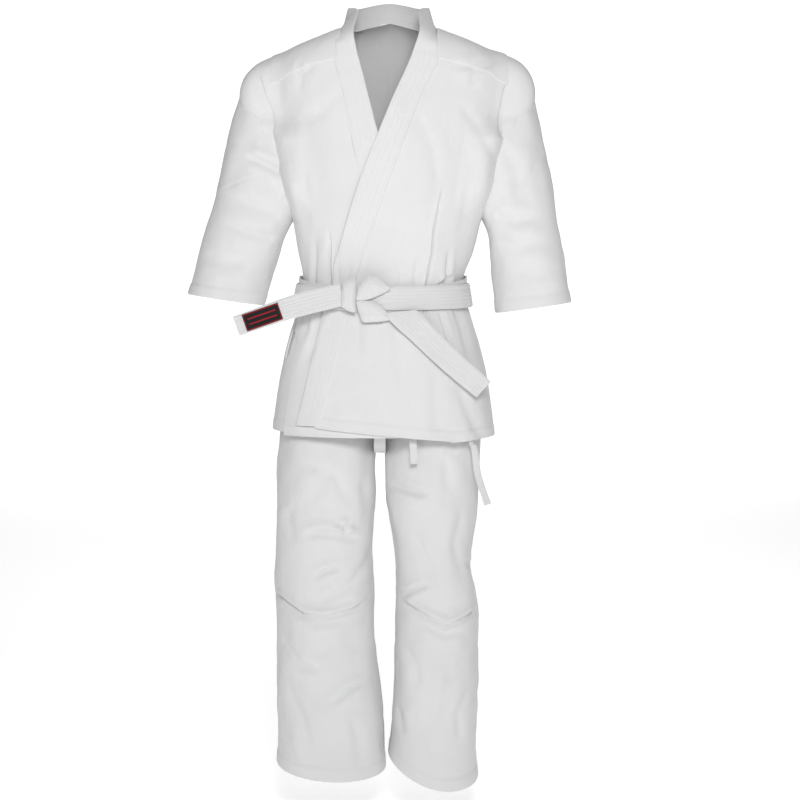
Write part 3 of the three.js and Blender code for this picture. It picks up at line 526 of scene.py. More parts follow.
def cotton(name, color, pitch, bump, sheen, shade=0.05, roughness=0.88, rib=0.0):
    """Woven cotton: two crossed sets of threads, uneven yarn, a soft nap and a little unevenness of tone."""
    material = plain(name, color, roughness)
    tree = material.node_tree
    shader = tree.nodes["Principled BSDF"]
    shader.inputs["Sheen Weight"].default_value = sheen
    shader.inputs["Sheen Roughness"].default_value = 0.55
    shader.inputs["Specular IOR Level"].default_value = 0.22
    link = tree.links.new
    uv = tree.nodes.new("ShaderNodeUVMap")
    uv.uv_map = "cloth"
    place = tree.nodes.new("ShaderNodeTexCoord")

    def math_node(kind, a, b):
        node = tree.nodes.new("ShaderNodeMath")
        node.operation = kind
        for socket, value in zip(node.inputs, (a, b)):
            if isinstance(value, (int, float)):
                socket.default_value = value
            else:
                link(value, socket)
        return node.outputs[0]

    def spots(scale, detail, source):
        node = tree.nodes.new("ShaderNodeTexNoise")
        node.inputs["Scale"].default_value = scale
        node.inputs["Detail"].default_value = detail
        link(source, node.inputs["Vector"])
        return node.outputs["Fac"]

    def threads(direction, distort):
        node = tree.nodes.new("ShaderNodeTexWave")
        node.bands_direction = direction
        node.inputs["Scale"].default_value = math.pi / 10 / (pitch * MM)
        node.inputs["Distortion"].default_value = distort
        node.inputs["Detail"].default_value = 1.0
        node.inputs["Detail Scale"].default_value = 0.6
        link(uv.outputs["UV"], node.inputs["Vector"])
        return node.outputs["Fac"]

    weft, warp = threads("X", 0.8), threads("Y", 0.8)
    weave = math_node("MULTIPLY_ADD", weft, 0.6)
    weave.node.inputs[2].default_value = 0.0
    weave = math_node("ADD", weave, math_node("MULTIPLY", warp, 0.4 + rib))
    yarn = spots(900, 2, uv.outputs["UV"])
    height = math_node("ADD", weave, math_node("MULTIPLY", yarn, 0.7))
    relief = tree.nodes.new("ShaderNodeBump")
    relief.inputs["Strength"].default_value = bump
    relief.inputs["Distance"].default_value = 0.0004
    link(height, relief.inputs["Height"])
    soft = tree.nodes.new("ShaderNodeBump")
    soft.inputs["Strength"].default_value = 0.35
    soft.inputs["Distance"].default_value = 0.0016
    link(spots(70, 3, place.outputs["Object"]), soft.inputs["Height"])
    link(relief.outputs["Normal"], soft.inputs["Normal"])
    link(soft.outputs["Normal"], shader.inputs["Normal"])

    tone = tree.nodes.new("ShaderNodeMapRange")
    tone.inputs["From Min"].default_value = 0.3
    tone.inputs["From Max"].default_value = 0.7
    tone.inputs["To Min"].default_value = 1 - shade
    tone.inputs["To Max"].default_value = 1.0
    link(math_node("ADD", math_node("MULTIPLY", spots(9, 4, place.outputs["Object"]), 0.7),
                   math_node("MULTIPLY", weave, 0.3)), tone.inputs["Value"])
    mix = tree.nodes.new("ShaderNodeMix")
    mix.data_type = "RGBA"
    mix.blend_type = "MULTIPLY"
    mix.inputs["Factor"].default_value = 1.0
    mix.inputs["A"].default_value = (*color, 1)
    link(tone.outputs["Result"], mix.inputs["B"])
    link(mix.outputs["Result"], shader.inputs["Base Color"])
    rough = tree.nodes.new("ShaderNodeMapRange")
    rough.inputs["To Min"].default_value = roughness - 0.08
    rough.inputs["To Max"].default_value = roughness + 0.06
    link(spots(40, 2, place.outputs["Object"]), rough.inputs["Value"])
    link(rough.outputs["Result"], shader.inputs["Roughness"])
    return material


JACKET_CLOTH = cotton("jacket_cotton", (0.80, 0.80, 0.80), 1.1, 0.30, 0.10)
BAND_CLOTH = cotton("band_cotton", (0.81, 0.81, 0.81), 0.9, 0.32, 0.10, rib=0.2)
TROUSER_CLOTH = cotton("trouser_cotton", (0.77, 0.77, 0.775), 0.8, 0.26, 0.10)
BELT_CLOTH = cotton("belt_cotton", (0.82, 0.82, 0.82), 0.7, 0.5, 0.10, shade=0.08, rib=0.6)
TAPE_CLOTH = cotton("tape_cotton", (0.79, 0.79, 0.79), 0.6, 0.40, 0.10, rib=0.6)
THREAD = cotton("stitch_thread", (0.74, 0.74, 0.74), 0.4, 0.3, 0.1, roughness=0.6)

# ---- Stitches -------------------------------------------------------------------------------------------

STITCH, STITCH_GAP, STITCH_HALF, STITCH_RISE = 3.0, 1.3, 0.42, 0.35


def spot_on(grid, row, col, ring=False):
    """The point of a grid at fractional rows and columns."""
    rows, cols = grid.shape[:2]
    row = np.clip(row, 0, rows - 1)
    r = np.minimum(np.floor(row).astype(int), rows - 2)
    if ring:
        c = np.floor(col).astype(int)
        d = (c + 1) % cols
        v = (col - c)[:, None]
        c = c % cols
    else:
        col = np.clip(col, 0, cols - 1)
        c = np.minimum(np.floor(col).astype(int), cols - 2)
        d = c + 1
        v = (col - c)[:, None]
    u = (row - r)[:, None]
    top = grid[r, c] * (1 - v) + grid[r, d] * v
    low = grid[r + 1, c] * (1 - v) + grid[r + 1, d] * v
    return top * (1 - u) + low * u


def stitch_row(grid, n, rows, cols, ring=False):
    """Raised stitches along a line over a grid. Returns their corners and faces."""
    rows, cols = (np.asarray(v, float) for v in np.broadcast_arrays(rows, cols))
    p, q = spot_on(grid, rows, cols, ring), unit(spot_on(n, rows, cols, ring))
    run = run_along(p)
    count = int(run[-1] / (STITCH + STITCH_GAP))
    if count < 1:
        return np.zeros((0, 3)), np.zeros((0, 4), int)
    starts = np.arange(count) * (STITCH + STITCH_GAP) + STITCH_GAP / 2

    def pick(values, where):
        return np.stack([np.interp(where, run, values[:, k]) for k in range(3)], -1)

    a, b = pick(p, starts), pick(p, starts + STITCH)
    normal = unit(pick(q, starts + STITCH / 2))
    side = unit(np.cross(b - a, normal)) * STITCH_HALF
    sunk, rise = normal * 0.25, normal * STITCH_RISE
    quarter = (b - a) * 0.22
    corners = np.stack([a - sunk, a + quarter + side - sunk, b - quarter + side - sunk, b - sunk,
                        b - quarter - side - sunk, a + quarter - side - sunk,
                        a + quarter + rise, b - quarter + rise], 1)
    faces = np.array([[0, 1, 6, 6], [1, 2, 7, 6], [2, 3, 7, 7], [3, 4, 7, 7], [4, 5, 6, 7], [5, 0, 6, 6],
                      [0, 5, 4, 3], [0, 3, 2, 1]])
    return corners.reshape(-1, 3), (faces[None] + 8 * np.arange(count)[:, None, None]).reshape(-1, 4)


def sew(piece, rows):
    """Adds rows of stitches to a piece's mesh, in their own thread."""
    corners, faces, base = [], [], 0
    for verts, quads in rows:
        corners.append(verts)
        faces.append(quads + base)
        base += len(verts)
    if not base:
        return
    corners, faces = np.concatenate(corners) * MM, np.concatenate(faces)
    data = [list(dict.fromkeys(face)) for face in faces.tolist()]
    mesh = bpy.data.meshes.new("stitches")
    mesh.from_pydata(corners.tolist(), [], data)
    mesh.uv_layers.new(name="cloth")
    mesh.materials.append(THREAD)
    thread = bpy.data.objects.new("stitches", mesh)
    bpy.context.scene.collection.objects.link(thread)
    bpy.ops.object.select_all(action="DESELECT")
    piece.select_set(True)
    thread.select_set(True)
    bpy.context.view_layer.objects.active = piece
    bpy.ops.object.join()


def finish_piece(piece, slot, replaced, body, flat, held, rests_on, **more):
    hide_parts(*replaced)
    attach(piece, body)


def panel_cut(base, ring=False):
    """A panel's cut, measured on the smooth body before any fold: its longest width and length, and its area."""
    g = np.concatenate([base, base[:, :1]], 1) if ring else base
    a, b, c = g[1:, :-1] - g[:-1, :-1], g[:-1, 1:] - g[:-1, :-1], g[1:, 1:] - g[:-1, :-1]
    area = np.linalg.norm(np.cross(a, c), axis=-1) + np.linalg.norm(np.cross(c, b), axis=-1)
    area = area.sum() / 2
    length = np.linalg.norm(np.diff(g, axis=0), axis=-1).sum(0).max()
    width = np.linalg.norm(np.diff(g, axis=1), axis=-1).sum(1).max()
    return dict(flat=(width * MM, length * MM), area=area * MM * MM)


def strip_cut(line, width, ring=False):
    """A strip's cut: the width it is made to, and its length along this line."""
    closed = np.concatenate([line, line[:1]]) if ring else line
    return dict(flat=(width * MM, np.linalg.norm(np.diff(closed, axis=0), axis=-1).sum() * MM))


# ---- Jacket --------------------------------------------------------------------------------------------

SKIN = 1.4  # thickness of the visible cloth
VENT_LAP = dict(left=1.0, right=24.0)  # how far forward of the side the vents lie, in degrees
VENT = -560, -506  # heights between which a vent opens
SEAM_LAP = 1.0  # how far a front goes in under its lapel, in degrees
ROW_STEP, FAN_STEP = 3.2, 0.75  # between rows: in mm below the fan, in degrees inside it
HEM_DEPTH, HEM_FADE = 21, 120.0  # depth of the doubled hem, and how far up a slanting hem is felt


def under_belt(z):
    """1 where the belt presses the cloth flat, 0 away from it."""
    return smooth(z, -508, -501) * (1 - smooth(z, -466, -458))


def square_chest(grid):
    """Squares the chest beside the sleeves, where the front folds over the arm."""
    x, y, z = grid[..., 0], grid[..., 1], grid[..., 2]
    centre, half, _ = table(JACKET, z)
    share = np.abs(x - centre) / half
    window = smooth(z, -345, -270) * (1 - smooth(z, -200, -150)) * smooth(-y, 2, 26)  # none at the side seam
    grid[..., 0] += np.sign(x - centre) * 9 * window * smooth(share, 0.75, 1)
    grid[..., 1] -= 26 * window * smooth(share, 0.66, 0.95)
    return grid


def press(step, z, most=0.4):
    """The detail with what the belt presses flat limited to this height."""
    pressed = under_belt(z)
    return step * (1 - pressed) + np.clip(step, -2, most) * pressed


def jacket_grid(levels, angles, offset):
    p = body_point(levels[:, None], angles, offset)
    step = press(jacket_detail(p), p[..., 2])
    return square_chest(body_point(levels[:, None], angles, offset + step))


def over_lift(p):
    return OVER_HEIGHT * (1 - smooth(p[..., 0] - table(RIGHT_FREE, p[..., 2])[0], 30, 80))


def level_rows(low, high):
    below = np.linspace(low - FAN_Z, 0, int((FAN_Z - low) / ROW_STEP) + 1)
    above = np.linspace(0, high, int(high / FAN_STEP) + 1)[1:]
    return np.concatenate([below, above])


def vent_share(levels):
    """1 where the skirt is slit at the vents, 0 above them."""
    return 1 - smooth(levels + FAN_Z, *VENT)


def jacket_hem(drop):
    """The hem is turned up: a ridge of doubled cloth below a groove."""
    return 0.7 * (1 - smooth(drop, HEM_DEPTH - 2, HEM_DEPTH)) - 0.7 * bump(drop - HEM_DEPTH, 1.6)


def hem_shift(grid, line):
    """Slopes the lowest rows so that the hem follows a slanting line."""
    z0 = grid[0, :, 2].copy()
    fade = 1 - smooth(grid[..., 2], z0.mean(), z0.mean() + HEM_FADE)
    grid[..., 2] += fade * (line(grid[0, :, 0]) - z0)


def front_panel(side):
    """A front from its lapel seam round to the side seam, with the shoulder over it."""
    left = side == "left"
    seam = LEFT_SEAM if left else RIGHT_SEAM
    bottom = -723 if left else -727
    levels = level_rows(bottom, 61)
    edge = edge_angle(levels, seam) + (SEAM_LAP if left else -SEAM_LAP)
    shares = np.linspace(0, 1, 180)
    end = 0.0 if left else 180.0
    vent = VENT_LAP[side] * vent_share(levels)
    end = end + (vent if left else -vent)
    angles = edge[:, None] + (end - edge)[:, None] * shares
    base = body_point(levels[:, None], angles, CLOTH)
    offset = CLOTH + (over_lift(base) if left else 0)
    grid = jacket_grid(levels, angles, offset)
    if left:
        hem_shift(grid, lambda x: np.where(x > 120, -737 + (x - 120) * 0.06, -723 - 0.098 * x))
    n = outward(grid, np.array([0, 0, 0]))
    drop = np.linalg.norm(grid - grid[0], axis=-1)
    grid = grid + n * jacket_hem(drop)[..., None]
    piece = cloth(f"front_{side}", grid, n, SKIN, JACKET_CLOTH)
    cols = np.arange(1, 179)
    hem_rows = [np.interp(h, drop[:40, 90], np.arange(40)) for h in (18.0, 3.5)]
    rows = [stitch_row(grid, n, r, cols) for r in hem_rows]
    vent_rows = np.arange(2, 42)
    rows += [stitch_row(grid, n, vent_rows, 179 - c) for c in (1.2, 6)]
    sew(piece, rows)
    finish_piece(piece, "jacket", [f"jacket_front_{side}"], held="hung", rests_on=[f"yoke_{side}_cloth"],
                 body="torso", **panel_cut(base))


def back_panel():
    """The back, from side seam to side seam and from the collar to the hem of its skirt."""
    levels = level_rows(-722, 73)
    shares = np.linspace(0, 1, 240)
    high = neck_rise(-180 * shares) + 0.5
    side_cap = np.minimum(levels[:, None], high[None, :])
    angles = -180 * shares[None, :] + 0 * levels[:, None]
    # Below the side vents the back laps forward under the fronts.
    skirt = vent_share(levels)[:, None]
    outer = smooth(np.abs(shares - 0.5), 0.38, 0.5)[None, :]
    lap = np.where(shares < 0.5, VENT_LAP["left"] + 4, -VENT_LAP["right"] - 6)[None, :]
    angles = angles + skirt * outer * lap
    p = body_point(side_cap, angles, CLOTH)
    step = press(jacket_detail(p), p[..., 2])
    under = 4.2 * skirt * smooth(np.abs(shares - 0.5), 0.42, 0.47)[None, :]
    grid = body_point(side_cap, angles, CLOTH + step - under)
    n = outward(grid, np.array([0, 0, 0]))
    drop = np.linalg.norm(grid - grid[0], axis=-1)
    middle = np.abs(grid[..., 0] - table(JACKET, np.clip(grid[..., 2], -770, 80))[0])
    grid = grid + n * (jacket_hem(drop) - 0.8 * bump(middle, 1.5))[..., None]
    piece = cloth("back_cloth", grid, n, SKIN, JACKET_CLOTH)
    cols = np.arange(1, 239)
    rows = [stitch_row(grid, n, r, cols) for r in (18 / ROW_STEP, 3.5 / ROW_STEP)]
    rows += [stitch_row(grid, n, np.arange(2, len(levels) - 16), 119.5 + c) for c in (-1.4, 1.4)]
    rows += [stitch_row(grid, n, np.arange(2, 52), c) for c in (1.4, 5, 237.6, 234)]
    sew(piece, rows)
    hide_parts("jacket_back_left", "jacket_back_right", "back_skirt_left", "back_skirt_right")
    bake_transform(piece)


def stitched_band(name, grid, n, thickness, rows_of_stitches, node, cut, rests):
    """A band of several layers, with rounded edges and rows of stitches sunk into it. Columns run across it."""
    rows, cols = grid.shape[:2]
    width = np.linalg.norm(np.diff(grid, axis=1), axis=-1).sum(1)
    u = run_along(grid, 1)
    share = u / np.maximum(width[:, None], 1e-6)
    edge = np.minimum(u, width[:, None] - u)
    relief = -1.1 * (1 - smooth(edge, 0, 2.2))
    places = [(k + 0.5) / rows_of_stitches for k in range(rows_of_stitches)]
    for place in places:
        relief = relief - 0.32 * bump((share - place) * width[:, None], 0.9)
    relief = relief + 0.35 * noise(grid, 14, 31) + 0.5 * noise(grid, (40, 40, 40), 32)
    grid = grid + n * relief[..., None]
    thick = thickness - 0.7 * (1 - smooth(edge, 0, 2.2))
    piece = cloth(name, grid, n, thick, BAND_CLOTH)
    lines = [stitch_row(grid, n, np.arange(1, rows - 1), place * (cols - 1)) for place in places]
    sew(piece, lines)
    finish_piece(piece, "jacket", node, held="hung", rests_on=rests, body="torso", **cut)


def lapel(side):
    """The long band on a front edge, from the collar down to the hem."""
    left = side == "left"
    seam, free = (LEFT_SEAM, LEFT_FREE) if left else (RIGHT_SEAM, RIGHT_FREE)
    v, u = np.meshgrid(np.linspace(0, 1, 176), np.linspace(0, 1, 34), indexing="ij")
    bottom = -723 - 0.098 * table(free, -723)[0] if left else -727
    z = LAPEL_TOP + (bottom - LAPEL_TOP) * v
    start = table(seam, z)[0] + (3 if left else -3)
    x = start + (table(free, z)[0] - start) * u
    base = front_point(x, z, CLOTH)
    lift = over_lift(base) if left else 0
    step = press(0.55 * jacket_detail(base), z, 0.3)
    grid = front_point(x, z, BAND + 0.9 + lift + step)
    n = outward(grid, np.array([0, 0, -300]))
    stitched_band(f"lapel_{side}_cloth", grid, n, BAND, 5, [f"lapel_{side}"], panel_cut(base), [f"front_{side}"])


def collar():
    """The band round the neck, from one lapel's top over the shoulders and the back to the other."""
    top = LAPEL_TOP - 1.2
    around = [22, -8, -35, -62, -90, -118, -145, -172, -202]

    def front(edge, z, inset=0.0):
        return front_point(table(edge, z)[0] - inset, z, 0.9)

    neck = [body_point(neck_rise(a) + 0.2, a, 0.9) for a in around]
    seam = [front(LEFT_SEAM, top, 2), front(LEFT_SEAM, -26, 2), *neck, front(RIGHT_SEAM, -26, -2),
            front(RIGHT_SEAM, top, -2)]
    stand = []
    for p, a in zip(neck, np.radians(around)):
        back = smooth(-np.sin(a), -0.5, 0.4)
        inward = np.array([-np.cos(a), 0.4 * np.sin(a), 0]) * (0.62 * (1 - back) + 0.12)
        width = 47 - 12 * smooth(-np.sin(a), 0.25, 1.0)
        level = 3.2 * bump(-np.sin(a) - 0.86, 0.12) - 3.0 * bump(-np.sin(a) - 0.5, 0.15)
        upward = np.array([0, -0.16, 0.72 + 0.2 * back])
        stand.append(p + unit(inward + upward) * width + np.array([0, 0, level]))
    free = [front(LEFT_FREE, top), front(LEFT_SEAM, -26) + np.array([-34, -4, 17]), *stand,
            front(RIGHT_SEAM, -26) + np.array([34, -4, 17]), front(RIGHT_FREE, top)]
    a, b = curve(seam, 200), curve(free, 200)
    u = np.linspace(0, 1, 34)[None, :, None]
    grid = a[:, None] * (1 - u) + b[:, None] * u
    n = outward(grid, np.array([NECK_X, 0, -60]))
    cut = panel_cut(grid)
    belly = 2.5 * np.sin(math.pi * u[..., 0]) * smooth(np.linspace(0, 1, 200), 0, 0.2)[:, None]
    grid = grid + n * (BAND + belly * smooth(np.linspace(1, 0, 200), 0, 0.2)[:, None])[..., None]
    stitched_band("collar_cloth", grid, n, BAND, 5, ["collar"], cut, ["back_cloth", "front_left"])


YOKE_FROM, YOKE_TO = 86.0, 212.0  # from under the collar's edge to over the sleeve's top


def yoke(side):
    """The doubled cloth over a shoulder, sewn down all round."""
    s = 1 if side == "left" else -1
    slant = np.radians(np.linspace(44, 140, 100))[:, None]
    x = NECK_X + s * np.linspace(YOKE_FROM, YOKE_TO, 60)[None, :]
    direction = np.stack(np.broadcast_arrays(0 * slant, -np.cos(slant), np.sin(slant), 0 * x)[:3], -1)
    origin = np.stack(np.broadcast_arrays(x, 0 * slant, -160.0), -1)
    base = cast(jacket_shape, origin, direction, CLOTH)
    grid = cast(jacket_shape, origin, direction, CLOTH + 1.3 + 0.8 * np.maximum(jacket_detail(base), -1.5))
    n = outward(grid, np.array([0, 0, -160]))
    r, c = np.arange(100)[:, None], np.arange(60)[None, :]
    edge = np.minimum(np.minimum(r, 99 - r) * 2.5, np.minimum(c, 59 - c) * 2.0)
    grid = grid + n * (-0.9 * (1 - smooth(edge, 0, 2.6)) - 0.3 * bump(edge - 4, 0.9))[..., None]
    piece = cloth(f"yoke_{side}_cloth", grid, n, 1.6, JACKET_CLOTH)
    long, wide = np.linspace(2, 97, 90), np.linspace(3, 56, 50)
    sew(piece, [stitch_row(grid, n, long, 3.2), stitch_row(grid, n, long, 55.8), stitch_row(grid, n, 1.8, wide),
                stitch_row(grid, n, 97.2, wide)])
    finish_piece(piece, "jacket", [f"yoke_{side}"], held="laid", rests_on=[f"front_{side}", "back_cloth"],
                 body="torso", **panel_cut(base))


# Sleeves: x and z of the outer and the inner end of each ring, and half its depth.
SLEEVE_RINGS = {
    "left": [
        (272, -112, 170, -188, 54), (283, -158, 158, -240, 60), (293, -205, 158, -285, 63),
        (305, -262, 171, -325, 65), (317, -335, 187, -362, 64), (332, -403, 194, -410, 63),
        (344, -489, 204, -509, 62),
    ],
    "right": [
        (-260, -104, -162, -182, 54), (-273, -146, -152, -240, 60), (-285, -192, -152, -290, 63),
        (-300, -252, -163, -332, 65), (-317, -322, -180, -366, 64), (-340, -396, -198, -418, 63),
        (-362, -474, -222, -495, 62),
    ],
}
SLEEVE_FOLDS = {
    "left": [
        ([(272, -124), (252, -134), (226, -163), (200, -196)], 1.6, 2.4, dict(lip=(0.2, 0.9), fade=(0, 0))),
        ([(214, -200), (236, -250), (246, -320)], 3.0, 11),
        ([(300, -215), (262, -250), (222, -290)], 2.6, 12),
        ([(198, -330), (236, -344), (290, -330)], 4.0, 10, dict(fade=(0.1, 0.4))),
        ([(200, -372), (240, -392), (300, -372)], 3.2, 11, dict(fade=(0.15, 0.4))),
        ([(322, -420), (280, -440), (232, -430)], 2.6, 11),
        ([(250, -400), (262, -450), (266, -492)], 1.8, 12, dict(fade=(0.4, 0))),
    ],
    "right": [
        ([(-292, -284), (-250, -268), (-190, -257)], 0.9, 1.8, dict(lip=(0.5, 0.2), fade=(0, 0))),
        ([(-250, -226), (-222, -236), (-186, -254)], 5.5, 7, dict(lip=(0.8, 0.3), fade=(0.3, 0))),
        ([(-204, -215), (-214, -170), (-236, -130)], 3.0, 7),
        ([(-184, -330), (-230, -318), (-286, -290)], 3.0, 11, dict(fade=(0.1, 0.5))),
        ([(-196, -372), (-236, -366), (-300, -340)], 4.0, 9, dict(fade=(0.1, 0.5))),
        ([(-330, -400), (-290, -420), (-240, -412)], 3.0, 11),
        ([(-262, -400), (-276, -450), (-284, -486)], 1.8, 12, dict(fade=(0.4, 0))),
    ],
}


def smooth_rows(rows, count):
    """Rows of values taken along a smooth curve through the given rows."""
    rows = np.array(rows, float)
    keyed = [tuple([k, *row]) for k, row in enumerate(rows)]
    t = np.linspace(0, len(rows) - 1, count)
    return np.stack(table(keyed, t), -1)


def hem_relief(distance, depth):
    """A turned-up hem: doubled cloth for this depth from the edge, with a groove where it is sewn."""
    return (0.9 * (1 - smooth(distance, depth - 1, depth + 0.6)) - 0.9 * bump(distance - depth - 1, 1.6)
            - 0.5 * bump(distance - depth + 3, 1.0) - 1.0 * (1 - smooth(distance, 0, 1.6)))


def squarish(value):
    """A cosine or sine drawn out towards the corners of a rounded square."""
    return np.sign(value) * np.abs(value) ** (2 / 2.2)


def hem_stitches(grid, n, run, height, first):
    """Stitches round a hem at this height over its edge, looked for from row first down."""
    rows, count = grid.shape[:2]
    row = np.array([np.interp(-height, -run[first:, c], np.arange(first, rows)) for c in range(count)])
    cols = np.linspace(0, count, 2 * count)
    level = np.interp(cols, np.arange(count + 1), np.append(row, row[0]))
    return stitch_row(grid, n, level, cols % count, ring=True)


def sleeve(side):
    rings = smooth_rows(SLEEVE_RINGS[side], 150)
    phi = np.linspace(0, 2 * np.pi, 121)[None, :-1]
    share_x, share_y = squarish(np.cos(phi)), squarish(np.sin(phi))
    ox, oz, ix, iz, depth = (rings[:, k][:, None] for k in range(5))
    x = (ox + ix) / 2 + (ox - ix) / 2 * share_x
    z = (oz + iz) / 2 + (oz - iz) / 2 * share_x
    base = np.stack([x, -depth * share_y, z], -1)
    grid = base
    n = outward(grid, np.stack([(ox + ix) / 2, 0 * ox, (oz + iz) / 2], -1), True)
    front = smooth(-grid[..., 1], -20, 20)
    d = front * folds(x, z, SLEEVE_FOLDS[side]) + (1 - front) * 0.8 * folds(x, z + 26, SLEEVE_FOLDS[side][1:])
    d = d + 2.2 * noise(grid, (60, 60, 90), 11) + 0.9 * noise(grid, (22, 22, 40), 12)
    d = d - 1.9 * crumple(grid, (60, 60, 70), 15) + 0.22 * noise(grid, FINE, 13)
    run = np.concatenate([np.cumsum(np.linalg.norm(np.diff(grid, axis=0), axis=-1)[::-1], 0)[::-1],
                          np.zeros((1, grid.shape[1]))])
    d = d * smooth(run, -20, 50) + hem_relief(run, 22)
    # The sleeve's own seam runs down its inside, where the cloth meets.
    seam = np.abs(np.arange(120) - 60)[None, :] * 3.0
    d = d - 0.9 * bump(seam, 2.0)
    grid = grid + n * d[..., None]
    n = outward(grid, np.stack([(ox + ix) / 2, 0 * ox, (oz + iz) / 2], -1), True)
    piece = cloth(f"sleeve_{side}_cloth", grid, n, SKIN, JACKET_CLOTH, ring=True)
    rows = [hem_stitches(grid, n, run, height, 90) for height in (19, 4)]
    rows.append(stitch_row(grid, n, np.arange(60, 146), 61.2, ring=True))
    sew(piece, rows)
    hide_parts(f"sleeve_{side}")
    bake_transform(piece)


# ---- Belt ----------------------------------------------------------------------------------------------

BELT_WIDTH, BELT_THICK, BELT_EASE, TAIL_THICK = 42.0, 4.0, 1.2, 5.0
INNER_WRAP = dict(front=-484, side=-461, back=-466)
OUTER_WRAP = dict(front=-480, side=-475, back=-478)
STITCHED_ROWS = 7


def belt_lift(angle):
    return CLOTH + LAYER + BELT_EASE + (OVER_HEIGHT + BAND - CLOTH) * smooth(np.sin(np.radians(angle)), 0.05, 0.5)


KNOT_OUT = belt_lift(90) + 2 * BELT_THICK + 3 * LAYER
KNOT_BACK = float(front_point(-3, OUTER_WRAP["front"] - BELT_WIDTH / 2, KNOT_OUT)[1])
KNOT_ROUNDING = 3.5
TAIL_FACE = KNOT_BACK - 3


def belt_relief(share, edge):
    """The belt's rows of stitching across its width, and its rounded edges."""
    relief = -1.4 * (1 - smooth(edge, 0, 2.6))
    for k in range(STITCHED_ROWS):
        place = (k + 0.5) / STITCHED_ROWS
        relief = relief - 0.6 * bump((share - place) * BELT_WIDTH, 0.9)
    return relief


def belt_threads(grid, n, ring=False):
    rows = []
    last = grid.shape[1]
    for k in range(STITCHED_ROWS):
        place = (k + 0.5) / STITCHED_ROWS * (grid.shape[0] - 1)
        cols = np.linspace(0, last, 3 * last) % last if ring else np.linspace(1, last - 2, 3 * last)
        rows.append(stitch_row(grid, n, place, cols, ring))
    return rows


def wrap(name, heights, lift, node, rests):
    angle = np.linspace(0, 360, 241)[None, :-1]
    share = np.linspace(0, 1, 49)[:, None]
    front = np.sin(np.radians(angle))
    ahead, behind = heights["front"] - heights["side"], heights["side"] - heights["back"]
    middle = heights["side"] + np.where(front > 0, ahead, behind) * front
    level = middle + (0.5 - share) * BELT_WIDTH - FAN_Z
    edge = np.minimum(share, 1 - share) * BELT_WIDTH
    base = body_point(level, angle, 0)
    wobble = 0.5 * noise(base, (40, 40, 60), 41) + 0.5 * noise(base, (110, 110, 60), 42)
    crown = 0.7 * np.sin(np.pi * share)
    offset = belt_lift(angle) + lift + BELT_THICK - 0.5 + belt_relief(share, edge) + wobble + crown
    grid = body_point(level, angle, offset)
    n = outward(grid, np.array([-3, 0, -480]), True)
    thick = BELT_THICK - 1.0 - 1.4 * (1 - smooth(edge, 0, 2.6)) + 0 * angle
    piece = cloth(name, grid, n, thick, BELT_CLOTH, ring=True)
    sew(piece, belt_threads(grid, n, True))
    line = body_point(level[24:25], angle, belt_lift(angle) + lift + BELT_THICK / 2)[0]
    finish_piece(piece, "belt", [node], held="stretched", rests_on=rests, body="torso",
                 **strip_cut(line, BELT_WIDTH, True))


def flap(name, outline, height, along, node, rests):
    """A flap of the knot: an outline in x and z, crowned towards the front, with stitching along one direction."""
    points = np.array(outline, float)
    count = len(points)
    closed = np.concatenate([points[-2:], points, points[:3]])
    t = np.linspace(0, count, 161)[:-1]
    around = np.append(points, points[:1], 0)
    straight = np.stack([np.interp(t, np.arange(count + 1), around[:, k]) for k in range(2)], -1)
    keyed = [(k - 2, *p) for k, p in enumerate(closed)]
    bent = np.stack(table(keyed, t), -1)
    rim = 0.55 * straight + 0.45 * bent
    rim = (np.roll(rim, 1, 0) + rim + np.roll(rim, -1, 0)) / 3
    centre = points.mean(0)
    u = np.linspace(0.004, 1, 60)[:, None, None]
    xz = centre + (rim - centre)[None] * u
    rise = height * (1 - np.clip(u[..., 0], 0, 1) ** KNOT_ROUNDING * 0.62)
    direction = np.array(along) / np.hypot(*along)
    across = (xz[..., 0] - centre[0]) * direction[1] - (xz[..., 1] - centre[1]) * direction[0]
    run = (xz[..., 0] - centre[0]) * direction[0] + (xz[..., 1] - centre[1]) * direction[1]
    pitch = BELT_WIDTH / STITCHED_ROWS
    groove = 0.5 * bump((across + 500 * pitch) % pitch - pitch / 2, 0.9)
    rise = rise - groove * smooth(1 - u[..., 0], 0.02, 0.1)
    grid = np.stack([xz[..., 0], KNOT_BACK - rise, xz[..., 1]], -1)
    grid[..., 1] += 0.5 * noise(grid, (14, 14, 14), 51)
    thick = np.maximum(KNOT_BACK - grid[..., 1] + 0.2, 0.8)
    inner = np.zeros_like(grid)
    inner[..., 1] = -1
    piece = cloth(name, grid, inner, thick, BELT_CLOTH, ring=True, uv=(across * MM + 1, run * MM + 1))
    length = (run.max() - run.min()) * MM
    finish_piece(piece, "belt", [node], held="folded", rests_on=rests, body="torso",
                 flat=(BELT_WIDTH * MM, length))


def ribbon(path, widths, width_way, count, across, square=True):
    """A strip along a path, wide along width_way, as a grid whose columns run along the path."""
    centre = curve(path, count)
    share = np.linspace(0, 1, count)
    half = np.interp(share, np.linspace(0, 1, len(widths)), widths)[:, None] / 2
    tangent = unit(np.gradient(centre, axis=0))
    way = np.array(width_way, float)
    if way.ndim > 1:
        way = np.stack([np.interp(share, np.linspace(0, 1, len(way)), way[:, k]) for k in range(3)], -1)
    if square:
        way = way - (way * tangent).sum(-1, keepdims=True) * tangent
    way = unit(way) + 0 * centre
    v = np.linspace(1, -1, across)
    grid = centre[None] + way[None] * half[None] * v[:, None, None]
    return grid, np.broadcast_to(share[None, :], grid.shape[:2]), np.broadcast_to(v[:, None], grid.shape[:2])


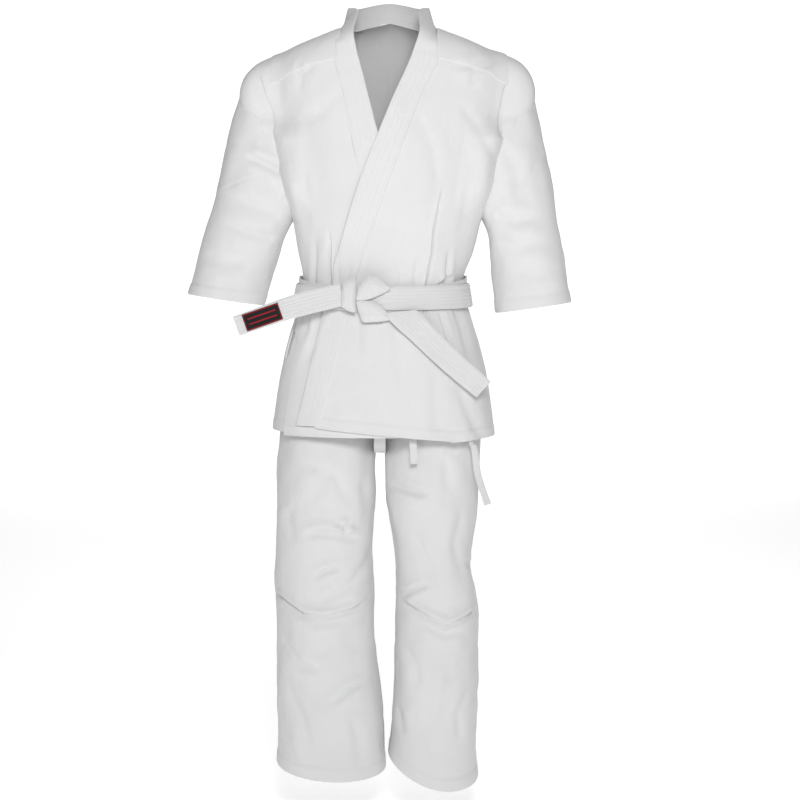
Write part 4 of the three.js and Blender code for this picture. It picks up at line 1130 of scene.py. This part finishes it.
def tail(name, path, widths, way, node):
    """A hanging end of the belt: a strip along a path, its width laid along the given way."""
    grid, share, v = ribbon(path, widths, way, count=110, across=49, square=len(way) == 3)
    n = forward(grid)
    edge = (1 - np.abs(v)) * BELT_WIDTH / 2
    relief = belt_relief((v + 1) / 2, edge) + 0.8 * np.sin(3.1 * np.pi * share) * v
    relief = relief + 0.6 * noise(grid, (40, 40, 40), 61)
    grid = grid + n * (TAIL_THICK / 2 - 0.4 + relief)[..., None]
    grid = grid - n * (1.2 * (1 - smooth((1 - share) * 190, 0, 2.5)))[..., None]
    n = forward(grid)
    piece = cloth(name, grid, n, TAIL_THICK - 1.6 - 1.2 * (1 - smooth(edge, 0, 2.6)), BELT_CLOTH)
    ends = [stitch_row(grid, n, np.arange(2, 47), 104 - c) for c in (0, 3)]
    sew(piece, belt_threads(grid, n) + ends)
    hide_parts(node)
    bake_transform(piece)


# ---- Tapes ---------------------------------------------------------------------------------------------

HIP_Z, TAPE_WIDTH, STRING_TOP = -745.0, 13.0, -468.4


def tape_strip(name, grid, node, body, rests, thickness=1.3, turned=True):
    n = forward(grid)
    cut = strip_cut(grid[6], TAPE_WIDTH)
    rows, cols = grid.shape[:2]
    v = np.linspace(-1, 1, rows)[:, None] + np.zeros((1, cols))
    relief = -0.5 * (1 - smooth(1 - np.abs(v), 0, 0.2)) - 0.18 * bump(np.abs(v) - 0.66, 0.1)
    grid = grid + n * (relief + 0.3 * noise(grid, 16, 71))[..., None]
    piece = cloth(name, grid, n, thickness, TAPE_CLOTH)
    cols_run = np.linspace(1, cols - 2, 2 * cols)
    rows_sewn = [stitch_row(grid, n, (rows - 1) * p, cols_run) for p in (0.17, 0.83)]
    if turned:
        rows_sewn.append(stitch_row(grid, n, np.arange(1, rows - 1), cols - 4))
    sew(piece, rows_sewn)
    finish_piece(piece, "tape", [node], held="hung", rests_on=rests, body=body, **cut)


def tapes():
    z = np.linspace(-504, -590, 60)[None, :]
    side = np.linspace(0.5, -0.5, 13)[:, None]
    turn = side * TAPE_WIDTH * 90 / (np.pi * table(JACKET, z)[2])
    grid = body_point(z - FAN_Z, 166 + turn, CLOTH + LAYER + 1.9)
    tape_strip("tie_right", grid, "tie_right_outer", "tie_right", ["front_right"])

    z = np.linspace(-560, HIP_Z + 0.4, 90)[None, :]
    turn = side * TAPE_WIDTH * 90 / (np.pi * table(JACKET, z)[2])
    grid = body_point(z - FAN_Z, 31 + turn, -0.9)
    tape_strip("tie_left", grid, "tie_left_inner", "torso", ["front_left"], turned=False)
    foot = body_point(HIP_Z - FAN_Z, 31.0, -3.0) + np.array([4, 0, 0])
    path = [foot + np.array(step) for step in [(0, 0, 1.5), (3, -2, -13), (9, -4, -53), (26, -12, -105)]]
    grid = ribbon(path, [11, 13, 13, 13], [1, 0.25, 0], count=70, across=13)[0]
    tape_strip("tie_left_tip", grid, "tie_left_inner_end", "tie_left_end", ["tie_left"])

    def string_at(x, z):
        return cast(seat_shape, np.array([x, 0.0, z]), np.array([0, -1.0, 0]), CLOTH + LAYER + 2)

    strings = [("string_left", 44, HIP_Z + 0.4, "drawstring_left"),
               ("string_right", -34, -690, "drawstring_right")]
    for name, x, bottom, node in strings:
        path = [string_at(x + 8 * t, STRING_TOP + (bottom - STRING_TOP) * t) for t in np.linspace(0, 1, 9)]
        grid = ribbon(path, [13, 13], [1, 0, 0], count=90, across=13)[0]
        tape_strip(name, grid, node, "torso", ["trouser_top"], turned=x < 0)
    top = string_at(52, HIP_Z + 2)
    path = [top + np.array(step) for step in [(0, 0, -0.5), (1, 1, -15), (2, 3, -33)]]
    grid = ribbon(path, [12, 13, 13], [1, 0, 0], count=36, across=13)[0]
    tape_strip("string_left_tip", grid, "drawstring_left_end", "drawstring_end", ["string_left"])


# ---- Trousers ------------------------------------------------------------------------------------------

LEGS = {
    "left": [
        (-690, 0, 176, 88, 0), (-745, -1, 178, 94, 0), (-840, 0, 175, 95, 0), (-884, 8, 171, 93, 0),
        (-930, 16, 164, 90, 0), (-975, 21, 161, 88, 0), (-1047, 21, 174, 88, 0), (-1127, 16, 176, 89, -4),
        (-1200, 14, 177, 90, -8), (-1290, 10, 177, 91, -14), (-1374, 6, 176, 92, -22),
    ],
    "right": [
        (-690, -190, -16, 88, 0), (-745, -195, -15, 94, 0), (-840, -202, -16, 95, 0), (-945, -203, -24, 92, 0),
        (-1010, -204, -20, 90, 0), (-1080, -205, -18, 90, 0), (-1142, -205, -13, 91, 0), (-1200, -205, -5, 93, 0),
        (-1277, -205, 2, 95, 0), (-1363, -204, 2, 96, -6),
    ],
}
LEG_FOLDS = {
    "right": [
        ([(-204, -1026), (-150, -1056), (-112, -1060), (-60, -1051), (-22, -1034)], 6.5, 4.2,
         dict(lip=(0.6, 0.1), fade=(0.05, 0.15))),
        ([(-186, -1040), (-120, -1072), (-60, -1066)], 2.6, 7),
        ([(-150, -910), (-120, -904), (-90, -906), (-40, -922)], 5.5, 6, dict(lip=(0.7, 0.2))),
        ([(-90, -884), (-72, -896), (-66, -912)], 5.0, 4),
        ([(-60, -886), (-76, -898)], 4.0, 4),
        ([(-130, -988), (-104, -974), (-78, -966)], 5.0, 4.5),
        ([(-96, -1222), (-66, -1196), (-30, -1180)], 5.0, 5),
        ([(-196, -1100), (-150, -1150), (-110, -1160)], 3.6, 8),
        ([(-130, -1040), (-60, -1000), (-30, -960), (-24, -930)], 4.0, 7),
        ([(-186, -1180), (-150, -1250), (-128, -1330)], 3.6, 9),
        ([(-60, -1240), (-46, -1300), (-42, -1360)], 3.0, 9),
        ([(-110, -790), (-124, -850)], 2.4, 10),
        ([(-150, -770), (-90, -800), (-60, -850)], 2.4, 10),
        ([(-40, -800), (-30, -860), (-34, -900)], 3.2, 9),
        ([(-180, -860), (-166, -930)], 2.4, 9),
        ([(-190, -1290), (-160, -1330)], 2.4, 7),
    ],
    "left": [
        ([(26, -1034), (72, -1058), (114, -1078), (170, -1057)], 6.5, 4.2,
         dict(lip=(0.6, 0.1), fade=(0.15, 0.05))),
        ([(60, -1066), (114, -1094), (150, -1084)], 2.6, 7),
        ([(28, -1030), (58, -1010), (84, -998)], 5.0, 4.5),
        ([(6, -818), (40, -826), (84, -836)], 5.0, 6, dict(lip=(0.2, 0.7))),
        ([(150, -960), (162, -984), (168, -1016)], 5.0, 5),
        ([(50, -900), (80, -960), (92, -1010)], 3.4, 8),
        ([(150, -860), (130, -920), (132, -980)], 3.2, 8),
        ([(30, -1110), (60, -1150), (60, -1200)], 3.4, 8),
        ([(160, -1120), (120, -1170), (104, -1240)], 3.6, 8),
        ([(160, -1180), (136, -1240), (140, -1300)], 3.2, 7),
        ([(60, -1260), (80, -1320), (84, -1380)], 3.0, 9),
        ([(20, -1230), (34, -1290)], 3.0, 7),
        ([(110, -760), (120, -840)], 2.4, 10),
    ],
}
LEG_BOW = dict(left=22.0, right=8.0)  # how far the front of each hem bows down


def leg(side):
    rows = 190
    bottom = LEGS[side][-1][0]
    z0 = np.linspace(-690, bottom, rows)
    inner, outer, depth, tilt = (v[:, None] for v in table(LEGS[side], z0))
    phi = np.linspace(0, 2 * np.pi, 141)[None, :-1]
    share_x, share_y = squarish(np.cos(phi)), squarish(np.sin(phi))
    centre, half = (inner + outer) / 2, (outer - inner) / 2
    x = centre + half * share_x
    bow = LEG_BOW[side] * (0.35 - share_x**2) * smooth(-z0[:, None], 1180, 1380)
    z = z0[:, None] + tilt * share_x - bow
    base = np.stack([x, -depth * share_y, z], -1)
    grid = base
    middle = np.stack([centre, 0 * centre, z0[:, None]], -1)
    n = outward(grid, middle, True)
    front = smooth(-grid[..., 1], -20, 20)
    d = front * folds(x, z, LEG_FOLDS[side])
    d = d + (1 - front) * folds(-x + 2 * centre, z + 30, LEG_FOLDS[side][:6])
    d = d + 3.4 * noise(grid, (70, 70, 110), 21) + 1.2 * noise(grid, (28, 28, 40), 22)
    d = d + 0.25 * noise(grid, FINE, 23) - 2.8 * crumple(grid, (80, 80, 90), 25)
    d = d - 1.6 * crumple(grid, (34, 34, 46), 27) * smooth(-z, 1000, 1120)
    run = z - (bottom + (tilt * share_x - bow)[-1:])
    low = smooth(run, -20, 70)
    upper = smooth(-grid[..., 2], 690, 760)
    d = d * low * (0.25 + 0.75 * upper)
    # Hem, side seam and inseam.
    d = d + hem_relief(run, 26)
    for seam in (0, 70):
        gap = np.minimum(np.abs(np.arange(140) - seam), 140 - np.abs(np.arange(140) - seam))[None, :] * 3.6
        d = d - 0.8 * bump(gap, 2.2)
    grid = grid + n * np.minimum(d, 7)[..., None]
    n = outward(grid, middle, True)
    piece = cloth(f"leg_{side}_cloth", grid, n, SKIN, TROUSER_CLOTH, ring=True)
    sewn = [hem_stitches(grid, n, run, height, 150) for height in (23, 20.6, 4)]
    for seam in (1.2, 138.8, 71.2):
        sewn.append(stitch_row(grid, n, np.arange(20, 182), seam, ring=True))
    sew(piece, sewn)
    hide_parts(f"trouser_{side}_front", f"trouser_{side}_back")
    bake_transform(piece)


def seat_grid(zs, offset):
    a = np.linspace(0, 2 * np.pi, 141)[None, :-1]
    z = zs[:, None] + 0 * a
    origin = np.stack([table(SEAT, z)[0], 0 * z, z], -1)
    direction = np.stack([np.cos(a) + 0 * z, -np.sin(a) + 0 * z, 0 * z], -1)
    return cast(seat_shape, origin, direction, offset)


def trouser_top():
    base = seat_grid(np.linspace(-438, -704, 90), CLOTH)
    grid = base
    n = outward(grid, np.array([-2, 0, -570]), True)
    d = 1.5 * noise(grid, (60, 60, 110), 81) - 1.4 * crumple(grid, (60, 60, 120), 83)
    seams = bump(grid[..., 0], 2.0) * 0.9
    grid = grid + n * (np.minimum(d, 0.6) - seams)[..., None]
    piece = cloth("trouser_top", grid, n, SKIN, TROUSER_CLOTH, ring=True)
    sew(piece, [stitch_row(grid, n, np.arange(4, 86), c, ring=True) for c in (36.5, 106.5)])
    finish_piece(piece, "trousers", ["trouser_seat_front", "trouser_seat_back"], held="hung",
                 rests_on=["waistband"], body="torso", **panel_cut(base, True))
    share = np.linspace(0, 1, 25)[:, None]
    base = seat_grid(np.linspace(-428, -468, 25), CLOTH + LAYER + 3)
    grid = base
    n = outward(grid, np.array([-2, 0, -450]), True)
    pucker = 0.7 * noise(grid, (9, 9, 60), 85)
    grid = grid + n * (pucker - 0.8 * (1 - smooth(np.minimum(share, 1 - share) * 40, 0, 2.2)))[..., None]
    piece = cloth("waistband", grid, n, 2.4, TROUSER_CLOTH, ring=True)
    cols = np.linspace(0, 140, 280) % 140
    sew(piece, [stitch_row(grid, n, r, cols, ring=True) for r in (2, 12, 22)])
    finish_piece(piece, "trousers", ["waistband_front", "waistband_back"], held="gathered",
                 rests_on=["trouser_top"], body="torso", **panel_cut(base, True))


def gusset():
    """The strip between the legs, from the front of the seat to its back."""
    low, high = (np.array(p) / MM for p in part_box("crotch_gusset"))
    a = np.linspace(0, np.pi, 60)[None, :]
    x = np.linspace(low[0] - 6, high[0] + 6, 15)[:, None]
    reach = (high[1] - low[1]) / 2 - 1
    drop = high[2] - low[2] - 2
    y, z = -reach * 0.9 * np.cos(a), high[2] - 1 - drop * np.sin(a) ** 0.6
    grid = np.stack(np.broadcast_arrays(x, y, z), -1)
    cut = panel_cut(grid)
    n = outward(grid, np.array([x.mean(), 0, high[2]]))
    grid = grid + n * (0.3 * noise(grid, 20, 91))[..., None]
    piece = cloth("gusset_cloth", grid, n, SKIN, TROUSER_CLOTH)
    sew(piece, [stitch_row(grid, n, r, np.arange(1, 59)) for r in (1.4, 12.6)])
    finish_piece(piece, "trousers", ["crotch_gusset"], held="stretched", rests_on=["trouser_top"], body="torso",
                 **cut)


# ---- The label at the belt's end -------------------------------------------------------------------------

LABEL_LENGTH, LABEL_WIDTH = 67.6, 31.0
BAR_HALF, BAR_FROM_MIDDLE = 1.5, 4.5


def label():
    path = [(-183, TAIL_FACE + 3 - TAIL_THICK / 2 - 0.6, -501.5),
            (-247, TAIL_FACE + 5.5 - TAIL_THICK / 2 - 0.6, -523.5)]
    share = np.linspace(0, 1, 70)
    centre = np.array(path[0]) * (1 - share[:, None]) + np.array(path[1]) * share[:, None]
    tangent = unit(centre[-1] - centre[0])
    way = unit(np.array([0, 0, 1]) - tangent[2] * tangent)
    v = np.linspace(1, -1, 40)
    grid = centre[None] + way[None, None] * LABEL_WIDTH / 2 * v[:, None, None]
    n = np.broadcast_to(np.array([0, -1.0, 0]), grid.shape)
    s, t = share[None, :] * LABEL_LENGTH, (1 - v[:, None]) / 2 * LABEL_WIDTH
    edge = np.minimum(np.minimum(s, LABEL_LENGTH - s), np.minimum(t, LABEL_WIDTH - t))
    rim = smooth(edge, 0, 0.6) * (1 - smooth(edge, 2.2, 2.8))
    # Two plain bars along the label, in place of any mark.
    bars = smooth(BAR_HALF - np.abs(np.abs(t - LABEL_WIDTH / 2) - BAR_FROM_MIDDLE), -0.4, 0.4)
    bars = bars * smooth(edge, 7, 7.6)
    raised = np.maximum(rim, bars) * 0.35
    grid = grid + n * (raised + 0.15 * noise(grid, 8, 95))[..., None]
    dark = cotton("label_dark", (0.012, 0.008, 0.010), 0.5, 0.35, 0.0, shade=0.2, roughness=0.6)
    red = cotton("label_red", (0.36, 0.012, 0.016), 0.5, 0.35, 0.0, shade=0.2, roughness=0.55)
    piece = cloth("label_patch", grid, n, 0.7, dark)
    piece.data.materials.append(red)
    marked = (raised > 0.17).ravel()
    for polygon in piece.data.polygons:
        corners = [v for v in polygon.vertices if v < marked.size]
        if len(corners) >= 3 and sum(marked[v] for v in corners) >= 3:
            polygon.material_index = 1
    finish_piece(piece, "label", ["belt_label"], held="laid", rests_on=["tail_right"], body="belt_end_right",
                 flat=(LABEL_WIDTH * MM, LABEL_LENGTH * MM))


# ---- Build it ------------------------------------------------------------------------------------------

for side in ("left", "right"):
    front_panel(side)
back_panel()
for side in ("left", "right"):
    yoke(side)
    lapel(side)
    sleeve(side)
    leg(side)
collar()
trouser_top()
gusset()
tapes()

wrap("belt_first_turn", INNER_WRAP, 0.0, "belt_inner_wrap", ["back_cloth"])
wrap("belt_second_turn", OUTER_WRAP, BELT_THICK + LAYER, "belt_outer_wrap", ["belt_first_turn"])
flap("knot_upper", [(-49, -483), (-44, -458), (-30, -441), (-14, -441), (12, -463), (-24, -481)],
     height=10, along=(1, -0.62), node="belt_knot_upper", rests=["belt_second_turn"])
flap("knot_lower",
     [(-49, -485), (-24, -483.5), (-6, -492), (8, -508), (8, -519), (-36, -522), (-43, -508)],
     height=10, along=(1, -0.7), node="belt_knot_lower", rests=["belt_second_turn"])
flap("knot_bridge",
     [(-49.6, -446), (-62, -444), (-73, -452), (-76, -475), (-75, -494), (-62, -502), (-50.2, -504), (-49.6, -482)],
     height=14, along=(0.05, -1), node="belt_knot_loop", rests=["belt_second_turn"])
tail("tail_right",
     [(-74, TAIL_FACE, -472.5), (-101, TAIL_FACE, -479), (-160, TAIL_FACE + 2, -494), (-262, TAIL_FACE + 6, -529)],
     widths=[40, 41, 39, 36], way=(0, 0, 1), node="belt_tail_right")
tail("tail_left",
     [(28, KNOT_BACK - 1, -503), (62, KNOT_BACK - 5, -536), (119, KNOT_BACK - 2, -591), (178, KNOT_BACK + 12, -642)],
     widths=[60, 45, 42, 41, 38], way=[(1, 0, 0.1), (0.74, 0, 0.67), (0.7, 0, 0.72), (0.68, 0, 0.74)],
     node="belt_tail_left")
label()
